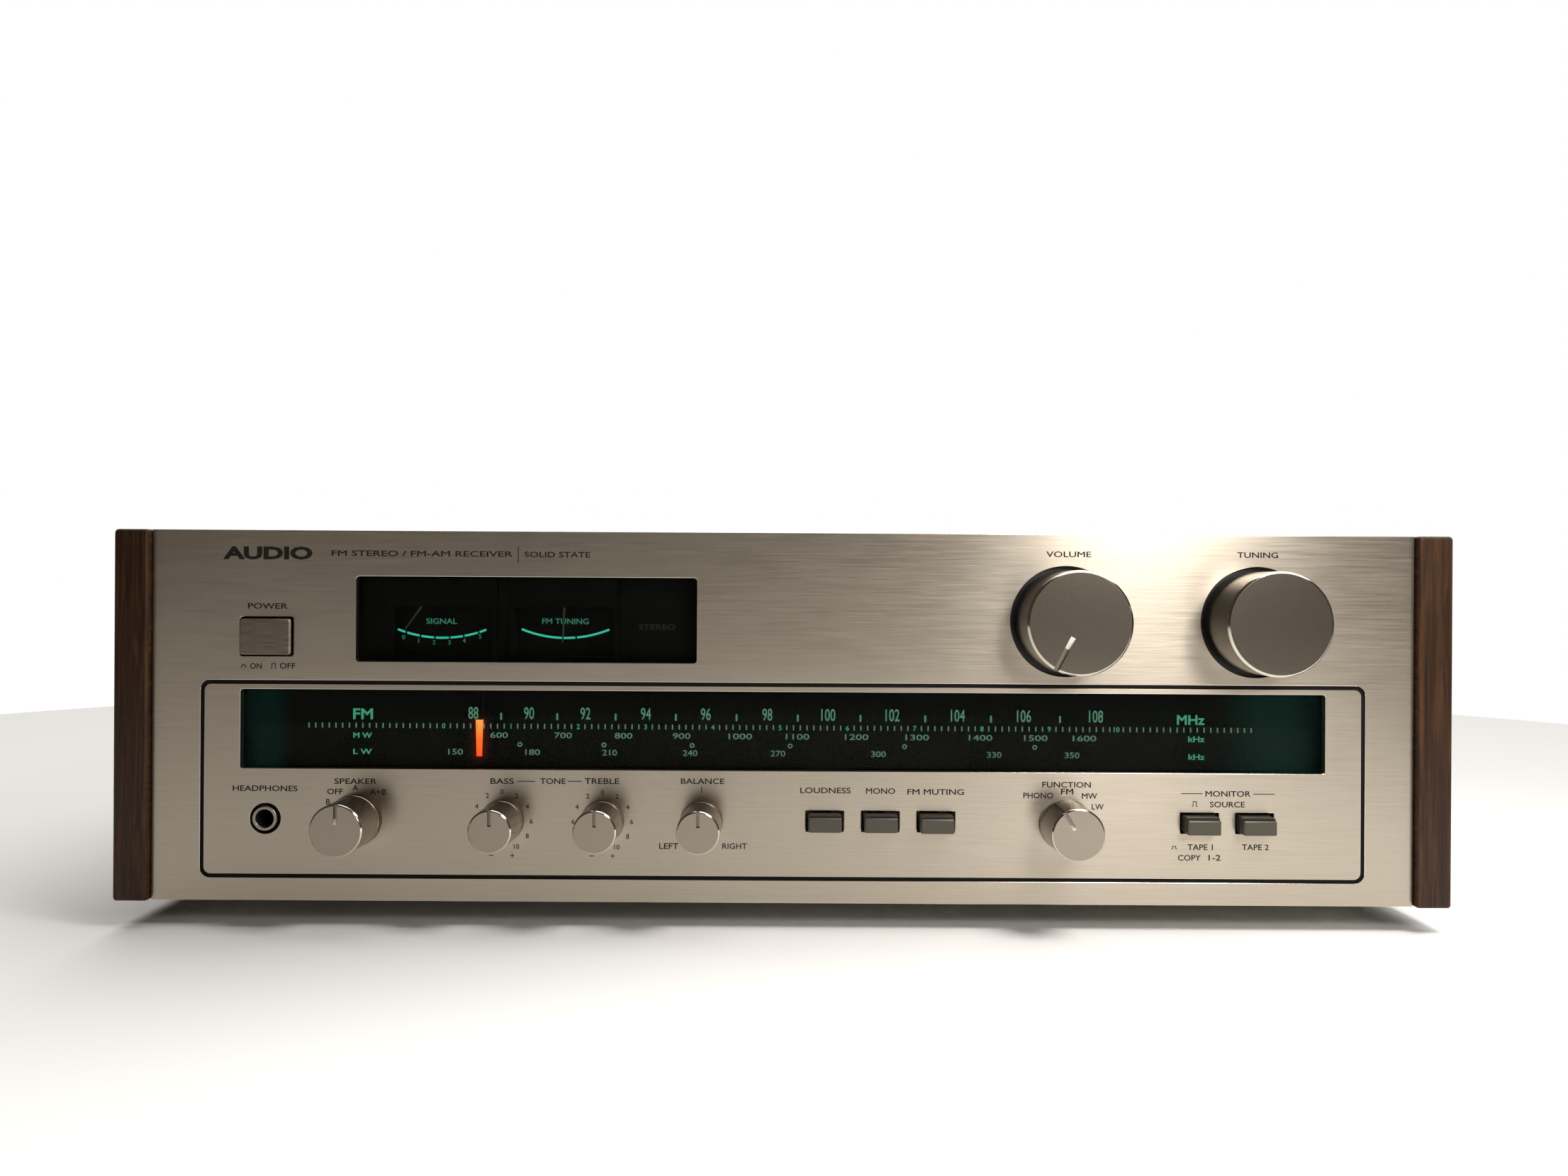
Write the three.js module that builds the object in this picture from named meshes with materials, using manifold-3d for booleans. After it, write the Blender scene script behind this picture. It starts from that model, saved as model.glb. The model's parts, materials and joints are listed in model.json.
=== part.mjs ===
// Stereo receiver with wooden cheeks, as an assembly of separate named pieces.
// Millimetres. +X is to the right seen from the front, the front faces -Y, +Z is up.
// The origin is below the middle of the whole object, on the plane that the feet stand on.
import * as THREE from "three";
import { mergeVertices } from "three/addons/utils/BufferGeometryUtils.js";
import Module from "manifold-3d";

const wasm = await Module();
wasm.setup();

// ---------------------------------------------------------------- driving dimensions

const TOTAL_WIDTH = 485;
const TOTAL_DEPTH = 325;
const FOOT_HEIGHT = 10;
const CLEARANCE = 0.3; // between neighbours that touch or are pressed together
const SHEET = 1.2; // steel sheet

const PANEL = { width: 460, height: 135, thickness: 3 };
const KNOB_REACH = 21; // how far the large knobs stand out of the panel
const SMALL_KNOB_REACH = 19;

const FRONT = -TOTAL_DEPTH / 2 + KNOB_REACH; // front face of the panel
const PANEL_BACK = FRONT + PANEL.thickness;
const CASE_BOTTOM = FOOT_HEIGHT;
const CASE_TOP = CASE_BOTTOM + PANEL.height;
const MIDDLE = CASE_BOTTOM + PANEL.height / 2; // height of the panel's centre
const REAR = 143.5; // front face of the rear panel
const REAR_FACE = REAR + SHEET;
const SOCKET_BACK = REAR_FACE + CLEARANCE; // what is fitted on the rear panel starts here

const WEB_FRONT = FRONT + 19.5; // the upright sheet that carries the controls
const WEB_BACK = WEB_FRONT + SHEET;
const BODY_FRONT = WEB_BACK + CLEARANCE; // front face of the parts bolted behind it

// Controls on the panel: x from the middle, z from the panel's centre.
const VOLUME = { x: 103.0, z: MIDDLE + 35.8 };
const TUNING = { x: 172.5, z: MIDDLE + 35.8 };
const LARGE_KNOB = { radius: 18.5, hole: 20.2, chamfer: 1.0, bore: 12 };
const SMALL_CHAMFER = 0.8;
const SMALL_NOTCH = 0.76; // a small knob's notch is this share of its radius long
const SMALL_ROW = MIDDLE - 38.15;
const SMALL_KNOBS = [
  { name: "speaker_knob", x: -155.8, radius: 9.45, notch: 1.4 },
  { name: "bass_knob", x: -102.2, radius: 7.8, notch: 1.2 },
  { name: "treble_knob", x: -65.6, radius: 7.8, notch: 1.2 },
  { name: "balance_knob", x: -29.5, radius: 7.8, notch: 1.2 },
  { name: "function_knob", x: 103.2, radius: 9.45, notch: 1.4, turned: -32 },
];
const BUTTON_ROW = MIDDLE - 37.45;
const BUTTON = { width: 12, height: 6.2, holeWidth: 14, holeHeight: 7.6, drop: 0.3 };
const BUTTONS = [
  { name: "loudness_button", x: 15.45, reach: 4.5 },
  { name: "mono_button", x: 35.75, reach: 4.5 },
  { name: "fm_muting_button", x: 56.0, reach: 5.5 },
  { name: "tape_1_button", x: 152.1, reach: 5.5 },
  { name: "tape_2_button", x: 172.2, reach: 5.5 },
];
const POWER = { x: -188.3, z: MIDDLE + 28.65, width: 18.6, height: 13.1, holeWidth: 19.5, holeHeight: 14.4 };
const JACK = { x: -188.5, z: MIDDLE - 37.6, bore: 3.25, nose: 4.5, hole: 5.6 };
const METER_WINDOW = { x: -93.7, z: MIDDLE + 35.3, width: 124.2, height: 31.1 };
const DIAL_WINDOW = { x: 0, z: MIDDLE - 4.9, width: 395.6, height: 28.8 };
const GROOVE = { z: MIDDLE - 23.2, width: 424.6, height: 72, line: 1.37, radius: 3.8, depth: 0.6 };

const SHAFT = 3; // radius of every control shaft
const SHAFT_BORE = SHAFT + CLEARANCE;

// Dial drive.
const RAIL = { y: FRONT + 8.3, z: MIDDLE + 14.5, radius: 1.2, half: 194.7 };
const POINTER = { x: -112, top: MIDDLE - 1.9, bottom: MIDDLE - 15.4 };
const CORD_PLANE = -114; // y of the middle of the dial cord's pulleys
const PULLEY = 8;
const DRUM = { x: 60, z: 80, radius: 28, pinion: 7 };
const ROTOR = { x: 87, z: 80, gear: 20, vane: 17 };

// Meters: pivot of each needle, and the needle's length and tilt at rest.
const METER_PIVOT = MIDDLE + 51.3;
const METERS = [
  { name: "signal", x: -125.9, tilt: -36 },
  { name: "tuning", x: -80.9, tilt: -2.5 },
];
const NEEDLE = 24.7;

// Ferrite aerial on the back: its upright hinge axis.
const AERIAL = { x: -70, y: 155, z: 122 };

// ---------------------------------------------------------------- solids

function toSolid(geometry) {
  const bare = geometry.index ? geometry.toNonIndexed() : geometry.clone();
  bare.deleteAttribute("normal");
  bare.deleteAttribute("uv");
  const merged = mergeVertices(bare, 1e-4);
  const mesh = new wasm.Mesh({
    numProp: 3,
    vertProperties: merged.attributes.position.array,
    triVerts: new Uint32Array(merged.index.array),
  });
  return new wasm.Manifold(mesh);
}

function toGeometry(solid) {
  const mesh = solid.getMesh();
  const geometry = new THREE.BufferGeometry();
  geometry.setAttribute("position", new THREE.BufferAttribute(new Float32Array(mesh.vertProperties), 3));
  geometry.setIndex(new THREE.BufferAttribute(new Uint32Array(mesh.triVerts), 1));
  geometry.computeVertexNormals();
  return geometry;
}

const join = (...pieces) => toGeometry(pieces.map(toSolid).reduce((sum, piece) => sum.add(piece)));
const cut = (base, ...tools) =>
  toGeometry(tools.map(toSolid).reduce((rest, tool) => rest.subtract(tool), toSolid(base)));

// A box between two corners.
function box([x0, x1], [y0, y1], [z0, z1]) {
  const geometry = new THREE.BoxGeometry(x1 - x0, y1 - y0, z1 - z0);
  return geometry.translate((x0 + x1) / 2, (y0 + y1) / 2, (z0 + z1) / 2);
}

const around = (centre, half) => [centre - half, centre + half];

// Closed outlines in a plane, as points.
function circle(cx, cy, radius, sides = 16, turn = 0) {
  return Array.from({ length: sides }, (_, i) => {
    const angle = turn + (2 * Math.PI * i) / sides;
    return new THREE.Vector2(cx + radius * Math.cos(angle), cy + radius * Math.sin(angle));
  });
}

function rectangle(cx, cy, width, height, radius = 0, steps = 3) {
  if (radius === 0) {
    const corners = [[-1, -1], [1, -1], [1, 1], [-1, 1]];
    return corners.map(([i, j]) => new THREE.Vector2(cx + (i * width) / 2, cy + (j * height) / 2));
  }
  const points = [];
  [[1, 1], [-1, 1], [-1, -1], [1, -1]].forEach(([i, j], corner) => {
    for (let step = 0; step <= steps; step += 1) {
      const angle = (Math.PI / 2) * (corner + step / steps);
      points.push(
        new THREE.Vector2(
          cx + i * (width / 2 - radius) + radius * Math.cos(angle),
          cy + j * (height / 2 - radius) + radius * Math.sin(angle),
        ),
      );
    }
  });
  return points;
}

// A sheet in the XY plane from z = 0 up, with its holes cut right through.
function extrude(outline, holes, depth) {
  const slab = (points, from, to) => {
    const settings = { depth: to - from, bevelEnabled: false };
    return new THREE.ExtrudeGeometry(new THREE.Shape(points), settings).translate(0, 0, from);
  };
  const sheet = slab(outline, 0, depth);
  return holes.length ? cut(sheet, ...holes.map((hole) => slab(hole, -1, depth + 1))) : sheet;
}

// A sheet standing across the receiver: its outline is in X and Z.
function uprightSheet(outline, [front, back], holes = []) {
  return extrude(outline, holes, back - front).rotateX(Math.PI / 2).translate(0, back, 0);
}

// A level sheet: its outline is in X and Y.
function levelSheet(outline, [bottom, top], holes = []) {
  return extrude(outline, holes, top - bottom).translate(0, 0, bottom);
}

// A turned piece about an axis along Y: the profile is [radius, y], from the front to the back.
function turnedAlongY(profile, x, z, sides) {
  const points = profile.map(([radius, y]) => new THREE.Vector2(radius, y));
  return new THREE.LatheGeometry(points, sides).translate(x, 0, z);
}

// A turned piece about an axis along Z: the profile is [radius, z], from the bottom to the top.
function turnedAlongZ(profile, x, y, sides) {
  const points = profile.map(([radius, z]) => new THREE.Vector2(radius, z));
  return new THREE.LatheGeometry(points, sides).rotateX(Math.PI / 2).translate(x, y, 0);
}

// ---------------------------------------------------------------- finishes

const finish = (color, roughness, metalness, extra = {}) =>
  new THREE.MeshStandardMaterial({ color, roughness, metalness, ...extra });
const BRUSHED = finish(0xb9b2a6, 0.35, 0.9);
const KNOB_METAL = finish(0x8a8076, 0.3, 0.9);
const WALNUT = finish(0x3a2416, 0.5, 0);
const STEEL = finish(0xa8a89c, 0.45, 0.8);
const BLACK_PAINT = finish(0x1c1b1a, 0.6, 0.1);
const BLACK_PLASTIC = finish(0x141414, 0.5, 0);
const BUTTON_PLASTIC = finish(0x5f574b, 0.45, 0.1);
const GLASS = finish(0x0a0f0c, 0.08, 0, { transparent: true, opacity: 0.5 });
const CHROME = finish(0xc8c8c8, 0.15, 1);
const BRASS = finish(0xb08d4a, 0.3, 1);
const BOARD = finish(0x8a5a22, 0.6, 0);
const CORE = finish(0x5a5a5e, 0.6, 0.5);
const SLEEVE = finish(0x1c3f66, 0.4, 0);
const RUBBER = finish(0x181818, 0.85, 0);
const GLOW = finish(0xff5a1e, 0.4, 0);
const FERRITE = finish(0x2b2b2e, 0.6, 0);

const receiver = new THREE.Group();

function add(name, geometry, material) {
  const mesh = new THREE.Mesh(geometry, material);
  mesh.name = name;
  receiver.add(mesh);
}

// ---------------------------------------------------------------- front panel

function frontPanel() {
  const holes = [
    rectangle(METER_WINDOW.x, METER_WINDOW.z, METER_WINDOW.width, METER_WINDOW.height, 1.2),
    rectangle(DIAL_WINDOW.x, DIAL_WINDOW.z, DIAL_WINDOW.width, DIAL_WINDOW.height, 1.0),
    rectangle(POWER.x, POWER.z, POWER.holeWidth, POWER.holeHeight, 0.9, 2),
    circle(VOLUME.x, VOLUME.z, LARGE_KNOB.hole, 40),
    circle(TUNING.x, TUNING.z, LARGE_KNOB.hole, 40),
    circle(JACK.x, JACK.z, JACK.hole, 20),
    ...SMALL_KNOBS.map((knob) => circle(knob.x, SMALL_ROW, SHAFT + 1, 12)),
    ...BUTTONS.map((button) => rectangle(button.x, BUTTON_ROW, BUTTON.holeWidth, BUTTON.holeHeight)),
  ];
  const sheet = uprightSheet(rectangle(0, MIDDLE, PANEL.width, PANEL.height), [FRONT, PANEL_BACK], holes);
  const groove = uprightSheet(
    rectangle(0, GROOVE.z, GROOVE.width, GROOVE.height, GROOVE.radius),
    [FRONT - 1, FRONT + GROOVE.depth],
    [rectangle(0, GROOVE.z, GROOVE.width - 2 * GROOVE.line, GROOVE.height - 2 * GROOVE.line,
      GROOVE.radius - GROOVE.line)],
  );
  add("front_panel", cut(sheet, groove), BRUSHED);
}

// The windows lie behind the panel and overlap their openings all round.
function windows() {
  const [lap, thickness] = [5, 1.8];
  const glass = [PANEL_BACK + CLEARANCE, PANEL_BACK + CLEARANCE + thickness];
  [["dial_window", DIAL_WINDOW], ["meter_window", METER_WINDOW]].forEach(([name, opening]) => {
    const outline = rectangle(opening.x, opening.z, opening.width + lap, opening.height + lap);
    add(name, uprightSheet(outline, glass), GLASS);
  });
}

// A black plate that closes the ring of space around the two large knobs.
function knobRecess() {
  const lap = 2.5;
  const left = VOLUME.x - LARGE_KNOB.hole - lap;
  const right = TUNING.x + LARGE_KNOB.hole + lap;
  const outline = rectangle((left + right) / 2, VOLUME.z, right - left, 2 * LARGE_KNOB.hole + 4.2);
  const holes = [VOLUME, TUNING].map(({ x, z }) => circle(x, z, SHAFT + 1, 12));
  add("knob_recess_plate", uprightSheet(outline, [PANEL_BACK + CLEARANCE, PANEL_BACK + 1.6], holes),
    BLACK_PLASTIC);
}

// ---------------------------------------------------------------- case

function cheeks() {
  const inner = PANEL.width / 2 + 0.4;
  const thickness = TOTAL_WIDTH / 2 - inner;
  const front = FRONT - 3; // the cheeks stand proud of the panel
  const outline = rectangle((front + REAR_FACE) / 2, MIDDLE, REAR_FACE - front, PANEL.height, 1.5, 2);
  [["cheek_left", -TOTAL_WIDTH / 2], ["cheek_right", inner]].forEach(([name, x]) => {
    const board = extrude(outline, [], thickness).rotateZ(Math.PI / 2).rotateY(Math.PI / 2);
    add(name, board.translate(x, 0, 0), WALNUT);
  });
}

const VENT = { width: 3.4, length: 46 };
const SIDE_FRAME = 1.6; // thickness of the two upright side sheets
const [FLOOR, ROOF] = [CASE_BOTTOM + 1.3, CASE_TOP - 2.4]; // outer faces of the bottom plate and top cover
const UPRIGHTS = [FLOOR + SHEET + CLEARANCE, ROOF - SHEET - CLEARANCE]; // the space between those two sheets

// Rows of slots that run from front to back, for the warm air.
function ventSlots(rows, columns, pitch) {
  const places = Array.from({ length: columns }, (_, i) => (i - (columns - 1) / 2) * pitch);
  return rows.flatMap((y) => places.map((x) => rectangle(x, y, VENT.width, VENT.length)));
}

function caseSheets() {
  const half = PANEL.width / 2;
  const [front, back] = [PANEL_BACK + 0.5, REAR - 0.7];
  const level = (width) => rectangle(0, (front + back) / 2, width, back - front);
  const topSlots = ventSlots([-20, 50], 16, 16);
  const bottomSlots = ventSlots([-40], 8, 24);
  add("top_cover", levelSheet(level(2 * half - 1), [ROOF - SHEET, ROOF], topSlots), BLACK_PAINT);
  add("bottom_plate", levelSheet(level(2 * half - 3), [FLOOR, FLOOR + SHEET], bottomSlots), STEEL);

  const outer = half - 1.4; // outer face of each side sheet
  [["side_frame_left", -outer], ["side_frame_right", outer - SIDE_FRAME]].forEach(([name, x]) => {
    add(name, box([x, x + SIDE_FRAME], [front, back], UPRIGHTS), STEEL);
  });
  rearPanel(half, [FLOOR, UPRIGHTS[1]]);
  subchassis(outer - SIDE_FRAME - 0.4, UPRIGHTS);
}

// ---------------------------------------------------------------- rear panel and its sockets

const JACKS = { x: -155, z: 45, width: 100, height: 34 };
const SPEAKERS = { x: 120, z: 47, width: 60, height: 42 };
const AERIALS = { x: -170, z: 98, width: 70, height: 20 };
const MAINS = { x: 205, z: 32, bore: 3.5, neck: 6, flange: 8 };
const SOCKET_RIM = 4; // how far each socket's mounting plate laps over its cut-out

function rearPanel(half, [bottom, top]) {
  const outline = rectangle(0, (bottom + top) / 2, 2 * half - 1, top - bottom);
  const holes = [JACKS, SPEAKERS, AERIALS].map((block) =>
    rectangle(block.x, block.z, block.width - 2 * SOCKET_RIM + 1, block.height - 2 * SOCKET_RIM + 1),
  );
  holes.push(circle(MAINS.x, MAINS.z, MAINS.neck + 0.4, 20));
  add("rear_panel", uprightSheet(outline, [REAR, REAR_FACE], holes), BLACK_PAINT);
}

// A socket block: a plate outside the rear panel and a body that reaches in through its cut-out.
function socketBlock(block, plateThickness, depth) {
  const plate = box(
    around(block.x, block.width / 2),
    [SOCKET_BACK, SOCKET_BACK + plateThickness],
    around(block.z, block.height / 2),
  );
  const body = box(
    around(block.x, block.width / 2 - SOCKET_RIM),
    [REAR - depth, SOCKET_BACK + plateThickness / 2],
    around(block.z, block.height / 2 - SOCKET_RIM),
  );
  return [plate, body];
}

function phonoJacks() {
  const plateThickness = 2;
  const face = SOCKET_BACK + plateThickness;
  const shell = { radius: 4.15, bore: 1.6, length: 9 };
  const jacks = [];
  const bores = [];
  for (let column = 0; column < 5; column += 1) {
    [-7.5, 7.5].forEach((dz) => {
      const x = JACKS.x + (column - 2) * 18.5;
      const profile = [[0, face - 1], [shell.radius, face - 1], [shell.radius, face + shell.length],
        [0, face + shell.length]];
      const bore = [[0, face + 1], [shell.bore, face + 1], [shell.bore, face + shell.length + 1],
        [0, face + shell.length + 1]];
      jacks.push(turnedAlongY(profile, x, JACKS.z + dz, 12));
      bores.push(turnedAlongY(bore, x, JACKS.z + dz, 8));
    });
  }
  add("phono_jack_block", cut(join(...socketBlock(JACKS, plateThickness, 6), ...jacks), ...bores), CHROME);
}

// Four two-pin loudspeaker sockets: a round boss with a flat slot in each.
function speakerSockets() {
  const plateThickness = 2;
  const face = SOCKET_BACK + plateThickness;
  const bosses = [];
  const slots = [];
  [-14, 14].forEach((dx) => {
    [-9.5, 9.5].forEach((dz) => {
      const [x, z] = [SPEAKERS.x + dx, SPEAKERS.z + dz];
      bosses.push(turnedAlongY([[0, face - 1], [7.5, face - 1], [7.5, face + 3], [0, face + 3]], x, z, 16));
      slots.push(box(around(x, 1), [face - 3, face + 4], around(z, 3.5)));
    });
  });
  add("speaker_socket_block", cut(join(...socketBlock(SPEAKERS, plateThickness, 6), ...bosses), ...slots),
    BLACK_PLASTIC);
}

function aerialTerminals() {
  const plateThickness = 4;
  const face = SOCKET_BACK + plateThickness;
  const screw = [
    [0, face - 1], [2, face - 1], [2, face + 2], [4.2, face + 2], [4.2, face + 6], [0, face + 6],
  ];
  const screws = [-25.5, -8.5, 8.5, 25.5].map((dx) => turnedAlongY(screw, AERIALS.x + dx, AERIALS.z, 12));
  add("aerial_terminals", join(...socketBlock(AERIALS, plateThickness, 4), ...screws), BLACK_PLASTIC);
}

// The bushing that the mains lead goes in through.
function mainsGland() {
  const [inside, flange, outside] = [REAR - 3, SOCKET_BACK, SOCKET_BACK + 3];
  const profile = [
    [MAINS.bore, inside], [MAINS.neck, inside], [MAINS.neck, flange], [MAINS.flange, flange],
    [MAINS.flange, outside], [MAINS.bore, outside], [MAINS.bore, inside],
  ];
  add("mains_gland", turnedAlongY(profile, MAINS.x, MAINS.z, 20), RUBBER);
}

// A ferrite rod aerial that swings out on a bracket with two ears.
function ferriteAerial() {
  const { x, y, z } = AERIAL;
  const pin = { radius: 2, hole: 2.3 };
  const ears = [[z - 14, z - 11], [z + 11, z + 14]];
  const bracket = join(
    box([x - 10, x + 12], [SOCKET_BACK, SOCKET_BACK + 2], [z - 14, z + 14]),
    ...ears.map((ear) => box(around(x, 6), [SOCKET_BACK + 1, y + 6], ear)),
  );
  const pinHole = turnedAlongZ([[0, z - 20], [pin.hole, z - 20], [pin.hole, z + 20], [0, z + 20]], x, y, 16);
  add("aerial_bracket", cut(bracket, pinHole), BLACK_PLASTIC);

  const barrel = [
    [0, z - 13.5], [pin.radius, z - 13.5], [pin.radius, z - 10.6], [5, z - 10.6],
    [5, z + 10.6], [pin.radius, z + 10.6], [pin.radius, z + 13.5], [0, z + 13.5],
  ];
  const arm = box([x, x + 8], around(y, 4), around(z, 6));
  const section = rectangle(y, z, 15, 14, 4, 3);
  const rod = extrude(section, [], 126).rotateZ(Math.PI / 2).rotateY(Math.PI / 2).translate(x + 6, 0, 0);
  add("ferrite_aerial", join(turnedAlongZ(barrel, x, y, 16), arm, rod), FERRITE);
}

// ---------------------------------------------------------------- the sheet that carries the controls

const STEM = { x: 2.5, z: 1.5 }; // half sizes of a push button's stem
const POWER_STEM = { x: 3, z: 2 };
const JACK_BODY = 15;

function subchassis(halfWidth, [bottom, top]) {
  const metersLeft = METERS[0].x - 21.5;
  const metersRight = METERS[1].x + 21.5;
  const holes = [
    rectangle((metersLeft + metersRight) / 2, MIDDLE + 38.2, metersRight - metersLeft, 40),
    rectangle(POWER.x, POWER.z, 2 * POWER_STEM.x + 1.8, 2 * POWER_STEM.z + 1.8),
    rectangle(JACK.x, JACK.z, JACK_BODY + 1, JACK_BODY + 1),
    circle(VOLUME.x, VOLUME.z, 5, 14),
    circle(TUNING.x, TUNING.z, SHAFT_BORE, 14),
    circle(DRUM.x, DRUM.z, SHAFT_BORE, 14),
    ...SMALL_KNOBS.map((knob) => circle(knob.x, SMALL_ROW, 5, 14)),
    ...BUTTONS.map((button) => rectangle(button.x, BUTTON_ROW, 2 * STEM.x + 1.8, 2 * STEM.z + 1.8)),
  ];
  const outline = rectangle(0, (bottom + top) / 2, 2 * halfWidth, top - bottom);
  add("control_subchassis", uprightSheet(outline, [WEB_FRONT, WEB_BACK], holes), STEEL);
}

// ---------------------------------------------------------------- knobs, shafts and what they turn

const LARGE_KNOB_BACK = PANEL_BACK - 0.7;
const SHAFT_FRONT = LARGE_KNOB_BACK - LARGE_KNOB.bore + CLEARANCE; // end of the shaft inside a large knob
const SHAFT_END = BODY_FRONT + 7; // end of a shaft inside its control

// The pointer line cut in a knob's face, from the rim inwards. Its tilt is clockwise from straight up.
function pointerNotch(x, z, face, radius, width, length, tilt) {
  const notch = box(around(0, width / 2), [face - 1, face + 1], [radius - length, radius + 1]);
  return notch.rotateY(THREE.MathUtils.degToRad(tilt)).translate(x, 0, z);
}

function largeKnob(name, { x, z }, tilt) {
  const face = FRONT - KNOB_REACH;
  const { radius, chamfer, bore } = LARGE_KNOB;
  const profile = [
    [0, face], [radius - chamfer, face], [radius, face + chamfer], [radius, LARGE_KNOB_BACK],
    [SHAFT_BORE, LARGE_KNOB_BACK], [SHAFT_BORE, LARGE_KNOB_BACK - bore], [0, LARGE_KNOB_BACK - bore],
  ];
  const body = turnedAlongY(profile, x, z, 40);
  const marked = tilt === undefined ? body : cut(body, pointerNotch(x, z, face, radius, 1.8, 13, tilt));
  add(name, marked, KNOB_METAL);
}

// A small knob with its shaft: the shaft's end lies in the bore of the control behind it.
function smallKnob({ name, x, radius, notch, turned = 0 }) {
  const face = FRONT - SMALL_KNOB_REACH;
  const back = FRONT - 0.5;
  const profile = [
    [0, face], [radius - SMALL_CHAMFER, face], [radius, face + SMALL_CHAMFER], [radius, back],
    [SHAFT, back], [SHAFT, SHAFT_END], [0, SHAFT_END],
  ];
  const body = turnedAlongY(profile, x, SMALL_ROW, 24);
  const line = pointerNotch(x, SMALL_ROW, face, radius, notch, radius * SMALL_NOTCH, turned);
  add(name, cut(body, line), KNOB_METAL);
}

// The bushing and bore that every rotary control has at its front.
const BORE_END = SHAFT_END + 1.5;
const BUSHING = { radius: 4.6, front: WEB_FRONT - 4 };
const bushing = () => [
  [0, BORE_END], [SHAFT_BORE, BORE_END], [SHAFT_BORE, BUSHING.front],
  [BUSHING.radius, BUSHING.front], [BUSHING.radius, BODY_FRONT],
];

function rotaryControl(name, x, z, steps, sides, material) {
  const last = steps[steps.length - 1];
  const profile = [...bushing(), ...steps, [0, last[1]]];
  add(name, turnedAlongY(profile, x, z, sides), material);
}

// Two wafers on a thin spacer.
const WAFER = { radius: 15, spacer: 6 };
const SWITCH_WAFERS = [
  [WAFER.radius, BODY_FRONT], [WAFER.radius, BODY_FRONT + 6], [WAFER.spacer, BODY_FRONT + 6],
  [WAFER.spacer, BODY_FRONT + 11], [WAFER.radius, BODY_FRONT + 11], [WAFER.radius, BODY_FRONT + 14],
];

// Three potentiometers on one board.
function toneControls() {
  const back = BODY_FRONT + 10;
  const pot = [...bushing(), [8.5, BODY_FRONT], [8.5, back + 0.5], [0, back + 0.5]];
  const pots = SMALL_KNOBS.slice(1, 4).map((knob) => turnedAlongY(pot, knob.x, SMALL_ROW, 16));
  const board = box([-114, -18], [back, back + 1.6], around(SMALL_ROW, 12.5));
  add("tone_control_board", join(board, ...pots), BOARD);
}

function rotaryControls() {
  largeKnob("volume_knob", VOLUME, -152.5);
  largeKnob("tuning_knob", TUNING);
  SMALL_KNOBS.forEach(smallKnob);

  const shaft = [[0, SHAFT_FRONT], [SHAFT, SHAFT_FRONT], [SHAFT, SHAFT_END], [0, SHAFT_END]];
  add("volume_shaft", turnedAlongY(shaft, VOLUME.x, VOLUME.z, 12), STEEL);
  rotaryControl("volume_control", VOLUME.x, VOLUME.z, [[12, BODY_FRONT], [12, BODY_FRONT + 20]], 20, STEEL);
  rotaryControl("speaker_switch", SMALL_KNOBS[0].x, SMALL_ROW, SWITCH_WAFERS, 16, BOARD);
  rotaryControl("function_switch", SMALL_KNOBS[4].x, SMALL_ROW, SWITCH_WAFERS, 16, BOARD);
  toneControls();
  tuningSpindle();
}

// The tuning shaft with its cord pulley and flywheel, turned from one bar.
function tuningSpindle() {
  const wheel = { front: CORD_PLANE + 4, back: CORD_PLANE + 16, radius: 22 };
  const profile = [
    [0, SHAFT_FRONT], [SHAFT, SHAFT_FRONT], [SHAFT, CORD_PLANE - 4], [PULLEY, CORD_PLANE - 4],
    [PULLEY, wheel.front], [wheel.radius, wheel.front], [wheel.radius, wheel.back],
    [SHAFT, wheel.back], [SHAFT, wheel.back + 5], [0, wheel.back + 5],
  ];
  add("tuning_flywheel", turnedAlongY(profile, TUNING.x, TUNING.z, 28), BRASS);
}

// ---------------------------------------------------------------- push buttons, power button and jack

function pushButtons() {
  BUTTONS.forEach(({ name, x, reach }) => {
    const [face, back] = [FRONT - reach, PANEL_BACK - 1];
    const z = BUTTON_ROW - BUTTON.drop;
    const cap = box(around(x, BUTTON.width / 2), [face, back], around(z, BUTTON.height / 2));
    const stem = box(around(x, STEM.x), [back - 1, SHAFT_END], around(BUTTON_ROW, STEM.z));
    add(name, join(cap, stem), BUTTON_PLASTIC);
  });
  buttonBank("button_bank_left", BUTTONS.slice(0, 3));
  buttonBank("button_bank_right", BUTTONS.slice(3));
}

// Clearance on each side of a stem in the slot of its switch.
const STEM_PLAY = 0.4;

// The latching switches behind a group of buttons, in one row.
function buttonBank(name, buttons) {
  const body = box(
    [buttons[0].x - 8.5, buttons[buttons.length - 1].x + 8.5],
    [BODY_FRONT, BODY_FRONT + 23],
    around(BUTTON_ROW, 7.5),
  );
  const slots = buttons.map((button) =>
    box(around(button.x, STEM.x + STEM_PLAY), [BODY_FRONT - 1, BODY_FRONT + 13],
      around(BUTTON_ROW, STEM.z + STEM_PLAY)),
  );
  add(name, cut(body, ...slots), BOARD);
}

function powerButton() {
  const { x, z } = POWER;
  const [face, back] = [FRONT - 2, FRONT + 6];
  const cap = uprightSheet(rectangle(x, z, POWER.width, POWER.height, 0.7, 2), [face, back]);
  const stem = box(around(x, POWER_STEM.x), [back - 1, BODY_FRONT + 9], around(z, POWER_STEM.z));
  add("power_button", join(cap, stem), KNOB_METAL);

  const body = box(around(x, 10), [BODY_FRONT, BODY_FRONT + 28], around(z, 7.5));
  const slot = box(around(x, POWER_STEM.x + STEM_PLAY), [BODY_FRONT - 1, BODY_FRONT + 12],
    around(z, POWER_STEM.z + STEM_PLAY));
  add("power_switch", cut(body, slot), BLACK_PLASTIC);
}

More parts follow.
